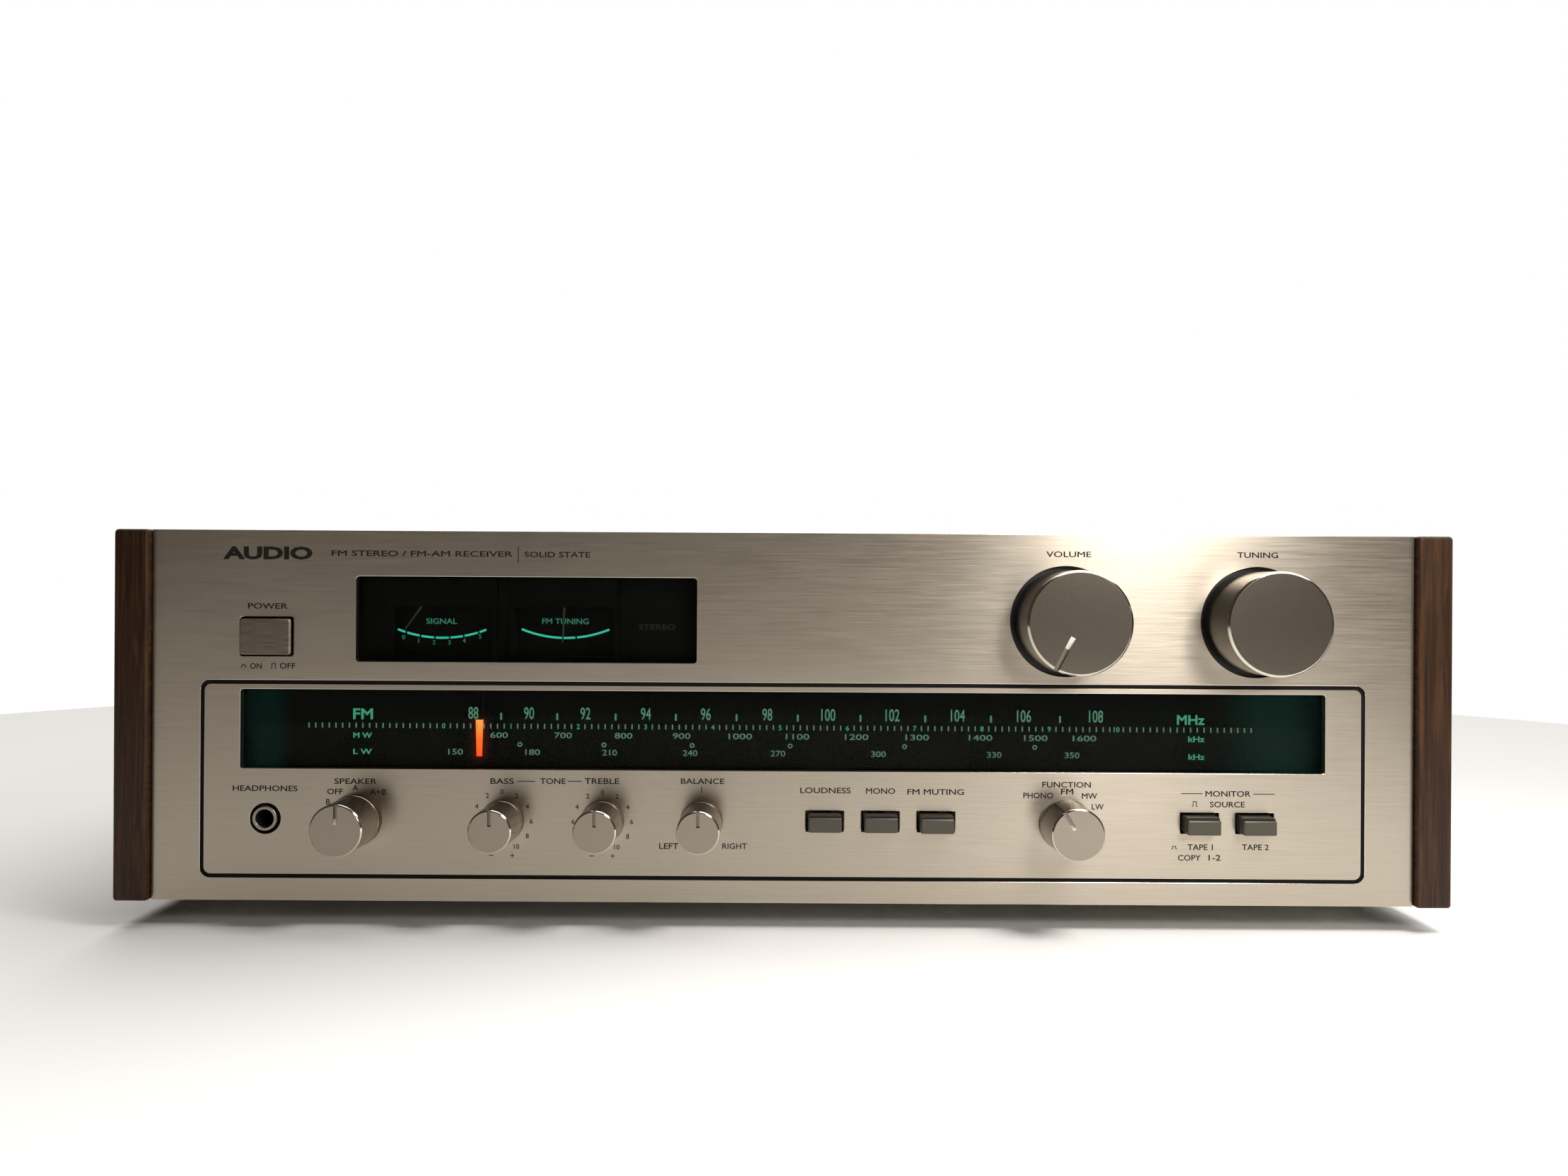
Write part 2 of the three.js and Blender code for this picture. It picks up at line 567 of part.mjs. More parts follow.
// A round nose on an open square tube that holds the contacts. The bore is eight-sided, measured across its flats.
function headphoneJack() {
  const { x, z, bore, nose } = JACK;
  const [front, root, back] = [FRONT - 0.8, FRONT + 7, FRONT + 35];
  const eighth = Math.PI / 8;
  const tube = uprightSheet(rectangle(x, z, JACK_BODY, JACK_BODY), [root, back], [
    rectangle(x, z, 2 * bore + 0.5, 2 * bore + 0.5),
  ]);
  const ring = uprightSheet(circle(x, z, nose, 24), [front, root + 1], [
    circle(x, z, bore / Math.cos(eighth), 8, eighth),
  ]);
  add("headphone_jack", join(tube, ring), CHROME);
}

// ---------------------------------------------------------------- dial: backplate, rail and pointer

function dial() {
  const half = 205;
  const front = FRONT + 11.3;
  const plate = box([-half, half], [front, front + 1], [DIAL_WINDOW.z - 17.5, DIAL_WINDOW.z + 15.4]);
  const tabs = [-1, 1].map((side) =>
    box(around(side * (half - 1), 1), [front, WEB_FRONT - CLEARANCE], around(DIAL_WINDOW.z, 12)),
  );
  const ears = [-1, 1].map((side) =>
    box(around(side * (RAIL.half + CLEARANCE + 1), 1), [FRONT + 6.5, front + 1], [RAIL.z - 8, RAIL.z + 3]),
  );
  add("dial_backplate", join(plate, ...tabs, ...ears), BLACK_PAINT);

  const rail = new THREE.CylinderGeometry(RAIL.radius, RAIL.radius, 2 * RAIL.half, 12);
  add("pointer_rail", rail.rotateZ(Math.PI / 2).translate(0, RAIL.y, RAIL.z), STEEL);

  // A carriage on the rail, with a blade that hangs from it in front of the backplate.
  const { x, top, bottom } = POINTER;
  const carriage = box(around(x, 5), [RAIL.y - 2.6, RAIL.y + 2.6], around(RAIL.z, 2.5));
  const bladeOutline = [
    [-0.9, RAIL.z], [-1.35, top], [-1.05, bottom], [1.05, bottom], [1.35, top], [0.9, RAIL.z],
  ];
  const blade = uprightSheet(
    bladeOutline.map(([dx, z]) => new THREE.Vector2(x + dx, z)),
    [RAIL.y - 2.6, RAIL.y - 1.8],
  );
  const bore = new THREE.CylinderGeometry(RAIL.radius + 0.4, RAIL.radius + 0.4, 20, 12);
  const hole = bore.rotateZ(Math.PI / 2).translate(x, RAIL.y, RAIL.z);
  add("dial_pointer", cut(join(carriage, blade), hole), GLOW);
}

// The cord drum with its pinion, in front of the tuning capacitor.
const GEAR_PLANE = [-99.5, -97]; // front and back of the pinion and of the capacitor's gear
const GEAR_PLAY = 0.2; // taken off each pitch radius, so that the two discs clear each other

function dialDrum() {
  const { x, z, radius, pinion } = DRUM;
  const [front, back] = [WEB_FRONT - 1.5, -92];
  const rim = radius + 1.5;
  const profile = [
    [0, front], [SHAFT, front], [SHAFT, CORD_PLANE - 3.5], [rim, CORD_PLANE - 3.5],
    [radius, CORD_PLANE - 1.5], [radius, CORD_PLANE + 1.5], [rim, CORD_PLANE + 3.5],
    [SHAFT, CORD_PLANE + 3.5], [SHAFT, GEAR_PLANE[0]], [pinion - GEAR_PLAY, GEAR_PLANE[0]],
    [pinion - GEAR_PLAY, GEAR_PLANE[1]], [SHAFT, GEAR_PLANE[1]], [SHAFT, back], [0, back],
  ];
  add("dial_drum", turnedAlongY(profile, x, z, 28), BLACK_PLASTIC);
}

// The tuning capacitor's frame: two end plates joined by a shelf, and the fixed plates that stand on it.
const VANES = { pitch: 6, thickness: 1.2, firstFixed: -85, fixed: 6, firstTurning: -88, turning: 7 };
const CAPACITOR = {
  front: -95, back: -47, plate: 2, left: 54, shelfLeft: 66, right: 108, foot: 25.9, top: 101,
};

function capacitorFrame() {
  const { front, back, plate, left, shelfLeft, right, foot, top } = CAPACITOR;
  const shelf = [56, 58];
  const shaftHoles = [circle(DRUM.x, DRUM.z, SHAFT_BORE, 14), circle(ROTOR.x, ROTOR.z, SHAFT_BORE, 14)];
  const endPlate = (y, x, holes) =>
    uprightSheet(rectangle((x + right) / 2, (foot + top) / 2, right - x, top - foot), [y, y + plate], holes);
  const fixedPlates = Array.from({ length: VANES.fixed }, (_, i) =>
    box(around(ROTOR.x, 18), around(VANES.firstFixed + i * VANES.pitch, VANES.thickness / 2),
      [shelf[0] + 1, ROTOR.z - SHAFT - 0.8]),
  );
  add("tuning_capacitor_frame", join(
    endPlate(front, left, shaftHoles),
    endPlate(back, shelfLeft, shaftHoles.slice(1)),
    box([shelfLeft, right], [front + 1, back + 1], shelf),
    ...fixedPlates,
  ), STEEL);
}

// Half-round vanes that turn between the fixed plates, on one shaft with their gear.
function capacitorRotor() {
  const { x, z, gear, vane } = ROTOR;
  const halfRound = Array.from({ length: 13 }, (_, i) => {
    const angle = Math.PI + (Math.PI * i) / 12;
    return new THREE.Vector2(x + vane * Math.cos(angle), z + vane * Math.sin(angle));
  });
  const end = CAPACITOR.back + 4;
  const shaft = [
    [0, GEAR_PLANE[0]], [gear - GEAR_PLAY, GEAR_PLANE[0]], [gear - GEAR_PLAY, GEAR_PLANE[1]],
    [SHAFT, GEAR_PLANE[1]], [SHAFT, end], [0, end],
  ];
  const vanes = Array.from({ length: VANES.turning }, (_, i) =>
    uprightSheet(halfRound, around(VANES.firstTurning + i * VANES.pitch, VANES.thickness / 2)),
  );
  add("tuning_capacitor_rotor", join(turnedAlongY(shaft, x, z, 24), ...vanes), BRASS);
}

// ---------------------------------------------------------------- meters

function meters() {
  const front = FRONT + 5.9;
  const floor = FRONT + 10;
  METERS.forEach(({ name, x, tilt }) => {
    const body = box(around(x, 20), [front, FRONT + 37.5], [METER_PIVOT - 31.8, METER_PIVOT + 5.7]);
    const pocket = box(around(x, 18.2), [front - 1, floor], [METER_PIVOT - 29.8, METER_PIVOT + 4.2]);
    const mask = box(around(x, 19), [front, front + 1], [METER_PIVOT - 11.6, METER_PIVOT + 5]);
    add(`${name}_meter`, join(cut(body, pocket), mask), BLACK_PLASTIC);

    const [hubFront, hubBack] = [floor - 2.7, floor - 0.3];
    const hub = turnedAlongY([[0, hubFront], [1.6, hubFront], [1.6, hubBack], [0, hubBack]], 0, 0, 12);
    const needle = [[-0.5, 2.4], [-0.25, -NEEDLE], [0.25, -NEEDLE], [0.5, 2.4]];
    const blade = uprightSheet(needle.map(([dx, z]) => new THREE.Vector2(dx, z)), [floor - 2, floor - 1.5]);
    const hand = join(hub, blade).rotateY(THREE.MathUtils.degToRad(-tilt)).translate(x, 0, METER_PIVOT);
    add(`${name}_needle`, hand, CHROME);
  });
}

// ---------------------------------------------------------------- electronics

const ON_FLOOR = FLOOR + SHEET + 0.4; // where what stands on the bottom plate starts
const MAIN_BOARD = { left: -222, right: 118, front: -100, back: 98, bottom: 24, top: 25.6 };
const CAPACITOR_CAN = { radius: 17.5, y: 60, height: 62 };
const TRANSFORMER = { x: 172, y: 52, top: 84 };
const HEAT_SINK = { front: 104, base: 4, bottom: 14, top: 96 };
const FINS = { count: 13, pitch: 12, thickness: 2, length: 30 };

function mainBoard() {
  const { left, right, front, back, bottom, top } = MAIN_BOARD;
  const post = [[0, ON_FLOOR], [3, ON_FLOOR], [3, bottom + 0.5], [0, bottom + 0.5]];
  const posts = [left + 8, right - 8].flatMap((x) =>
    [front + 8, back - 8].map((y) => turnedAlongZ(post, x, y, 12)),
  );
  add("main_board", join(box([left, right], [front, back], [bottom, top]), ...posts), BOARD);
}

function filterCapacitors() {
  const { radius, y, height } = CAPACITOR_CAN;
  const [base, top] = [MAIN_BOARD.top + CLEARANCE, MAIN_BOARD.top + height];
  const can = [[0, base], [radius, base], [radius, top - 1.5], [radius - 1.3, top], [0, top]];
  [["filter_capacitor_1", -160], ["filter_capacitor_2", -115]].forEach(([name, x]) => {
    add(name, turnedAlongZ(can, x, y, 20), SLEEVE);
  });
}

function powerTransformer() {
  const { x, y, top } = TRANSFORMER;
  const core = box(around(x, 42), around(y, 30), [ON_FLOOR, top]);
  const coil = box(around(x, 27), around(y, 46), [28, 68]);
  const flange = box(around(x, 50), around(y, 22), [ON_FLOOR, ON_FLOOR + 2.5]);
  add("power_transformer", join(core, coil, flange), CORE);
}

// Upright fins on a base plate, open to the back.
function heatSink() {
  const { front, base, bottom, top } = HEAT_SINK;
  const root = front + base;
  const end = ((FINS.count - 1) / 2) * FINS.pitch + FINS.thickness / 2;
  const outline = [new THREE.Vector2(end, front), new THREE.Vector2(-end, front)];
  for (let i = 0; i < FINS.count; i += 1) {
    const x = i * FINS.pitch - end;
    const corners = [[x, root], [x, root + FINS.length], [x + FINS.thickness, root + FINS.length],
      [x + FINS.thickness, root]];
    const first = i === 0 ? 1 : 0; // the outer corners lie on the base plate's own ends
    const last = i === FINS.count - 1 ? 3 : 4;
    outline.push(...corners.slice(first, last).map(([px, py]) => new THREE.Vector2(px, py)));
  }
  add("heat_sink", levelSheet(outline.reverse(), [bottom, top]), BLACK_PAINT);
}

// ---------------------------------------------------------------- feet

function feet() {
  const [top, radius] = [CASE_BOTTOM + 1, 12];
  const profile = [[0, 0], [radius - 1.5, 0], [radius, 1.5], [radius, top], [0, top]];
  [["front", -84], ["rear", 110]].forEach(([end, y]) => {
    [["left", -1], ["right", 1]].forEach(([side, sign]) => {
      add(`foot_${end}_${side}`, turnedAlongZ(profile, sign * 196, y, 20), RUBBER);
    });
  });
}

frontPanel();
windows();
knobRecess();
cheeks();
caseSheets();
phonoJacks();
speakerSockets();
aerialTerminals();
mainsGland();
ferriteAerial();
rotaryControls();
pushButtons();
powerButton();
headphoneJack();
dial();
dialDrum();
capacitorFrame();
capacitorRotor();
meters();
mainBoard();
filterCapacitors();
powerTransformer();
heatSink();
feet();

export default receiver;
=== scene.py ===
"""Looks of the stereo receiver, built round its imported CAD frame.

Lengths in this file are millimetres in the CAD frame: +X to the right seen from the front, the front faces
-Y, +Z up. Meshes are scaled to metres when they are made. Pieces are placed by the CAD nodes' boxes.
Lettering and scales are placed by short lists, on the front from the panel's centre.
"""
import json
import math

import bmesh
import bpy
from mathutils import Matrix, Vector

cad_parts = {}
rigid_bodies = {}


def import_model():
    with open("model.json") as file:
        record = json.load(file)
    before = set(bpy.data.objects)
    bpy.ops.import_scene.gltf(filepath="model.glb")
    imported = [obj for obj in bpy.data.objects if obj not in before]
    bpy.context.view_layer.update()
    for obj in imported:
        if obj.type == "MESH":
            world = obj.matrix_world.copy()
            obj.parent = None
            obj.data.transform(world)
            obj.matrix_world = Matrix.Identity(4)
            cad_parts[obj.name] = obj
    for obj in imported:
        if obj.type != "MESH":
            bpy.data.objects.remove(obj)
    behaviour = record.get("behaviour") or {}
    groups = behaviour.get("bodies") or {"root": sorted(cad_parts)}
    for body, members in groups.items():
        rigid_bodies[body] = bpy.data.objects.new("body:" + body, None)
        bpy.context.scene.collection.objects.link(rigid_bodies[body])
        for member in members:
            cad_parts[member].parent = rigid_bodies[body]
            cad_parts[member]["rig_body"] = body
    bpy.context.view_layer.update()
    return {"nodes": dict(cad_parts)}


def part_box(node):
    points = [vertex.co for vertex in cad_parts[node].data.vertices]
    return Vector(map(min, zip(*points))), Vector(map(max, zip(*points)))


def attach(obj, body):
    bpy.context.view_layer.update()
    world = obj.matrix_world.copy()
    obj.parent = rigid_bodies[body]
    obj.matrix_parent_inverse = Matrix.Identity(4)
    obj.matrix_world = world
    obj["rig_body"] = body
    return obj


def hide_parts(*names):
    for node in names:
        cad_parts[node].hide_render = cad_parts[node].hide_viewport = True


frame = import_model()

MM = 0.001


# ------------------------------------------------------------------ places taken from the CAD

def extent(node):
    """Lowest and highest corner of a CAD node, in mm."""
    low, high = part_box(node)
    return low / MM, high / MM


def middle(node):
    low, high = extent(node)
    return (low + high) / 2


def body_of(node):
    return frame["nodes"][node]["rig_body"]


def add_object(name, data):
    made = bpy.data.objects.new(name, data)
    bpy.context.scene.collection.objects.link(made)
    return made


PANEL_LOW, PANEL_HIGH = extent("front_panel")
FRONT = PANEL_LOW.y
PANEL_BACK = PANEL_HIGH.y
MIDDLE = (PANEL_LOW.z + PANEL_HIGH.z) / 2
GLASS_BACK = extent("dial_window")[1].y
REAR_FACE = extent("rear_panel")[1].y

SMALL_KNOBS = ["speaker_knob", "bass_knob", "treble_knob", "balance_knob", "function_knob"]
LARGE_KNOBS = ["volume_knob", "tuning_knob"]
PUSH_BUTTONS = ["loudness_button", "mono_button", "fm_muting_button", "tape_1_button", "tape_2_button"]
SMALL_ROW = middle("bass_knob").z

# Openings of the panel, from its centre: x, z, width, height, corner radius.
WINDOW_LAP = 5
DIAL_OPENING = (*middle("dial_window").xz, 395.6, 28.8, 1.0)
METER_OPENING = (*middle("meter_window").xz, 124.2, 31.1, 1.2)
POWER_OPENING = (*middle("power_button").xz, 19.5, 14.4, 0.9)
GROOVE_OUTER = (0, MIDDLE - 23.2, 424.6, 72.0, 3.8)
GROOVE_WIDTH = 1.37
GROOVE_DEPTH = 0.6
LARGE_HOLE = 20.2
JACK_HOLE = 5.6


# ------------------------------------------------------------------ camera

def make_camera():
    """Looks straight at the panel from 420 mm, a little above its middle, rolled by a third of a degree."""
    distance, picture_width = 420, 571.7
    data = bpy.data.cameras.new("camera")
    data.sensor_width = 36
    data.lens = data.sensor_width * distance / picture_width
    data.shift_x, data.shift_y = 0.0041, -0.0019
    camera = add_object("camera", data)
    camera.location = Vector((-2.2, FRONT - distance, MIDDLE + 48.5)) * MM
    level = Matrix.Rotation(math.radians(90), 4, "X")
    roll = Matrix.Rotation(math.radians(0.335), 4, "Z")
    camera.rotation_euler = (level @ roll).to_euler()
    bpy.context.scene.camera = camera


make_camera()


# ------------------------------------------------------------------ materials

def layer(along, tint=0.0, rough=0.0, bump=0.0, detail=2.0, distortion=0.0):
    """One layer of procedural detail: what it varies, and how often it repeats per mm, as one number or as
    three for X, Y and Z."""
    if isinstance(along, float):
        along = (along, along, along)
    return {"along": along, "tint": tint, "rough": rough, "bump": bump, "detail": detail,
            "distortion": distortion}


def set_inputs(node, **values):
    """Sets a node's sockets, with _ for the spaces in their names."""
    for socket, value in values.items():
        node.inputs[socket.replace("_", " ")].default_value = value


def object_place(nodes):
    return nodes.new("ShaderNodeTexCoord").outputs["Object"]


def object_axes(nodes, links):
    """X, Y and Z of a point on its object, as three sockets."""
    place = nodes.new("ShaderNodeSeparateXYZ")
    links.new(object_place(nodes), place.inputs["Vector"])
    return place.outputs


def noise_field(nodes, links, along, detail, distortion, number=0):
    """Noise that repeats so often per mm along X, Y and Z. Each number takes it from another place."""
    mapping = nodes.new("ShaderNodeMapping")
    set_inputs(mapping, Scale=[repeats / MM for repeats in along],
               Location=(7.3 * number, 3.1 * number, 5.7 * number))
    links.new(object_place(nodes), mapping.inputs["Vector"])
    noise = nodes.new("ShaderNodeTexNoise")
    set_inputs(noise, Scale=1.0, Detail=detail, Distortion=distortion)
    links.new(mapping.outputs["Vector"], noise.inputs["Vector"])
    return noise


def math_node(nodes, links, operation, first, second=None):
    """The result of a Math node on numbers and sockets."""
    node = nodes.new("ShaderNodeMath")
    node.operation = operation
    for socket, value in zip(node.inputs, (first, second)):
        if isinstance(value, (int, float)):
            socket.default_value = value
        elif value is not None:
            links.new(value, socket)
    return node.outputs["Value"]


def scaled_color(nodes, links, color, factor):
    """A colour, or the socket of one, times the socket of a factor."""
    node = nodes.new("ShaderNodeVectorMath")
    node.operation = "SCALE"
    if isinstance(color, tuple):
        node.inputs[0].default_value = color
    else:
        links.new(color, node.inputs[0])
    links.new(factor, node.inputs["Scale"])
    return node.outputs["Vector"]


def spread(nodes, links, noise, low, high):
    """The noise mapped from its usual range to low...high."""
    node = nodes.new("ShaderNodeMapRange")
    set_inputs(node, From_Min=0.3, From_Max=0.7, To_Min=low, To_Max=high)
    links.new(noise.outputs["Fac"], node.inputs["Value"])
    return node.outputs["Result"]


def vary_color(nodes, links, shader, color, noise, amount):
    socket = shader.inputs["Base Color"]
    source = socket.links[0].from_socket if socket.is_linked else color
    factor = spread(nodes, links, noise, 1 - amount, 1 + amount)
    links.new(scaled_color(nodes, links, source, factor), socket)


def vary_roughness(nodes, links, shader, roughness, noise, amount):
    socket = shader.inputs["Roughness"]
    source = socket.links[0].from_socket if socket.is_linked else roughness
    change = spread(nodes, links, noise, -amount, amount)
    links.new(math_node(nodes, links, "ADD", source, change), socket)


def add_bump(nodes, links, shader, noise, height):
    socket = shader.inputs["Normal"]
    bump = nodes.new("ShaderNodeBump")
    set_inputs(bump, Strength=1.0, Distance=height * MM)
    if socket.is_linked:
        links.new(socket.links[0].from_socket, bump.inputs["Normal"])
    links.new(noise.outputs["Fac"], bump.inputs["Height"])
    links.new(bump.outputs["Normal"], socket)


def finish(name, color, metallic=0.0, roughness=0.5, layers=(), **sockets):
    """A Principled material whose colour, roughness and bump are varied by layers of noise."""
    material = bpy.data.materials.new(name)
    material.use_nodes = True
    nodes, links = material.node_tree.nodes, material.node_tree.links
    shader = nodes["Principled BSDF"]
    set_inputs(shader, Base_Color=(*color, 1), Metallic=metallic, Roughness=roughness, **sockets)
    for number, item in enumerate(layers):
        noise = noise_field(nodes, links, item["along"], item["detail"], item["distortion"], number)
        if item["tint"]:
            vary_color(nodes, links, shader, color, noise, item["tint"])
        if item["rough"]:
            vary_roughness(nodes, links, shader, roughness, noise, item["rough"])
        if item["bump"]:
            add_bump(nodes, links, shader, noise, item["bump"])
    return material


def brushed_along(material, axis, amount):
    """Stretches a metal's highlights round an axis, as fine parallel scratches do."""
    nodes, links = material.node_tree.nodes, material.node_tree.links
    tangent = nodes.new("ShaderNodeTangent")
    tangent.direction_type = "RADIAL"
    tangent.axis = axis
    shader = nodes["Principled BSDF"]
    shader.inputs["Anisotropic"].default_value = amount
    links.new(tangent.outputs["Tangent"], shader.inputs["Tangent"])
    return material


def walnut(name, grain, tone=1.0):
    """Dark walnut veneer. The grain runs along the axis whose repeat per mm is smallest."""
    material = finish(name, (0.1, 0.1, 0.1), 0.0, 0.5, Specular_IOR_Level=0.2)
    nodes, links = material.node_tree.nodes, material.node_tree.links
    shader = nodes["Principled BSDF"]
    figure = noise_field(nodes, links, grain, 6, 1.4)
    ramp = nodes.new("ShaderNodeValToRGB")
    stops = ramp.color_ramp.elements
    stops[0].position, stops[0].color = 0.28, [0.016 * tone, 0.0067 * tone, 0.003 * tone, 1]
    stops[1].position, stops[1].color = 0.74, [0.062 * tone, 0.0273 * tone, 0.011 * tone, 1]
    stops.new(0.5).color = [0.0335 * tone, 0.0143 * tone, 0.006 * tone, 1]
    links.new(figure.outputs["Fac"], ramp.inputs["Fac"])
    pores = noise_field(nodes, links, [repeats * 7 for repeats in grain], 3, 0.2)
    factor = spread(nodes, links, pores, 0.7, 1.2)
    links.new(scaled_color(nodes, links, ramp.outputs["Color"], factor), shader.inputs["Base Color"])
    links.new(spread(nodes, links, pores, 0.52, 0.36), shader.inputs["Roughness"])
    add_bump(nodes, links, shader, pores, 0.05)
    return material


def glow(name, color, strength, cover=1.0):
    """Printing lit from behind, which covers that share of what is behind it."""
    return finish(name, (0.02, 0.02, 0.02), 0.0, 0.4, [layer(0.05, tint=0.15)], Alpha=cover,
                  Emission_Color=(*color, 1), Emission_Strength=strength / cover)


def pointer_light(low, high):
    """The lit dial pointer: yellow-orange at its top and red-orange at its foot."""
    material = finish("pointer_light", (0.5, 0.12, 0.02), 0.0, 0.3, [layer(0.2, tint=0.1)],
                      Emission_Strength=2.2)
    nodes, links = material.node_tree.nodes, material.node_tree.links
    height = nodes.new("ShaderNodeMapRange")
    set_inputs(height, From_Min=low * MM, From_Max=high * MM)
    links.new(object_axes(nodes, links)["Z"], height.inputs["Value"])
    ramp = nodes.new("ShaderNodeValToRGB")
    stops = ramp.color_ramp.elements
    stops[0].color = (0.85, 0.055, 0.008, 1)
    stops[1].color = (1.0, 0.3, 0.05, 1)
    stops.new(0.5).color = (1.0, 0.13, 0.014, 1)
    links.new(height.outputs["Result"], ramp.inputs["Fac"])
    links.new(ramp.outputs["Color"], nodes["Principled BSDF"].inputs["Emission Color"])
    return material


def soft_glow(name, color, strength, lines):
    """A black sheet with light on it that fades away from upright lines: (x, z, half height, reach, share),
    where the light reaches reach mm from the line and has that share of the strength on it."""
    material = finish(name, (0.015, 0.013, 0.011), 0.0, 0.6, [layer(0.5, tint=0.2, bump=0.004)],
                      Specular_IOR_Level=0.15, Emission_Strength=strength)
    nodes, links = material.node_tree.nodes, material.node_tree.links
    axes = object_axes(nodes, links)

    def result(operation, first, second=None):
        return math_node(nodes, links, operation, first, second)

    total = 0.0
    for x, z, half, reach, share in lines:
        across = result("SUBTRACT", axes["X"], x * MM)
        up = result("ABSOLUTE", result("SUBTRACT", axes["Z"], z * MM))
        beyond = result("MAXIMUM", result("SUBTRACT", up, half * MM), 0.0)
        squares = result("ADD", result("MULTIPLY", across, across), result("MULTIPLY", beyond, beyond))
        fade = nodes.new("ShaderNodeMapRange")
        fade.interpolation_type = "SMOOTHERSTEP"
        set_inputs(fade, From_Min=0, From_Max=reach * MM, To_Min=share, To_Max=0)
        links.new(result("SQRT", squares), fade.inputs["Value"])
        total = result("ADD", fade.outputs["Result"], total)
    links.new(scaled_color(nodes, links, color, total), nodes["Principled BSDF"].inputs["Emission Color"])
    return material


POINTER_X = middle("dial_pointer").x
POINTER_TOP = MIDDLE - 1.9
POINTER_FOOT = MIDDLE - 15.4
DIAL_ENDS = [extent("dial_window")[i].x + j * WINDOW_LAP / 2 for i, j in ((0, 1), (1, -1))]

FINE = layer(0.9, tint=0.05, rough=0.04, bump=0.004)
WORN = layer((0.018, 0.018, 0.03), tint=0.02, rough=0.012, detail=3)
SATIN = layer(1.6, tint=0.015, rough=0.015, bump=0.0002)
SMUDGES = layer((0.018, 0.018, 0.03), tint=0.05, rough=0.05, detail=4)

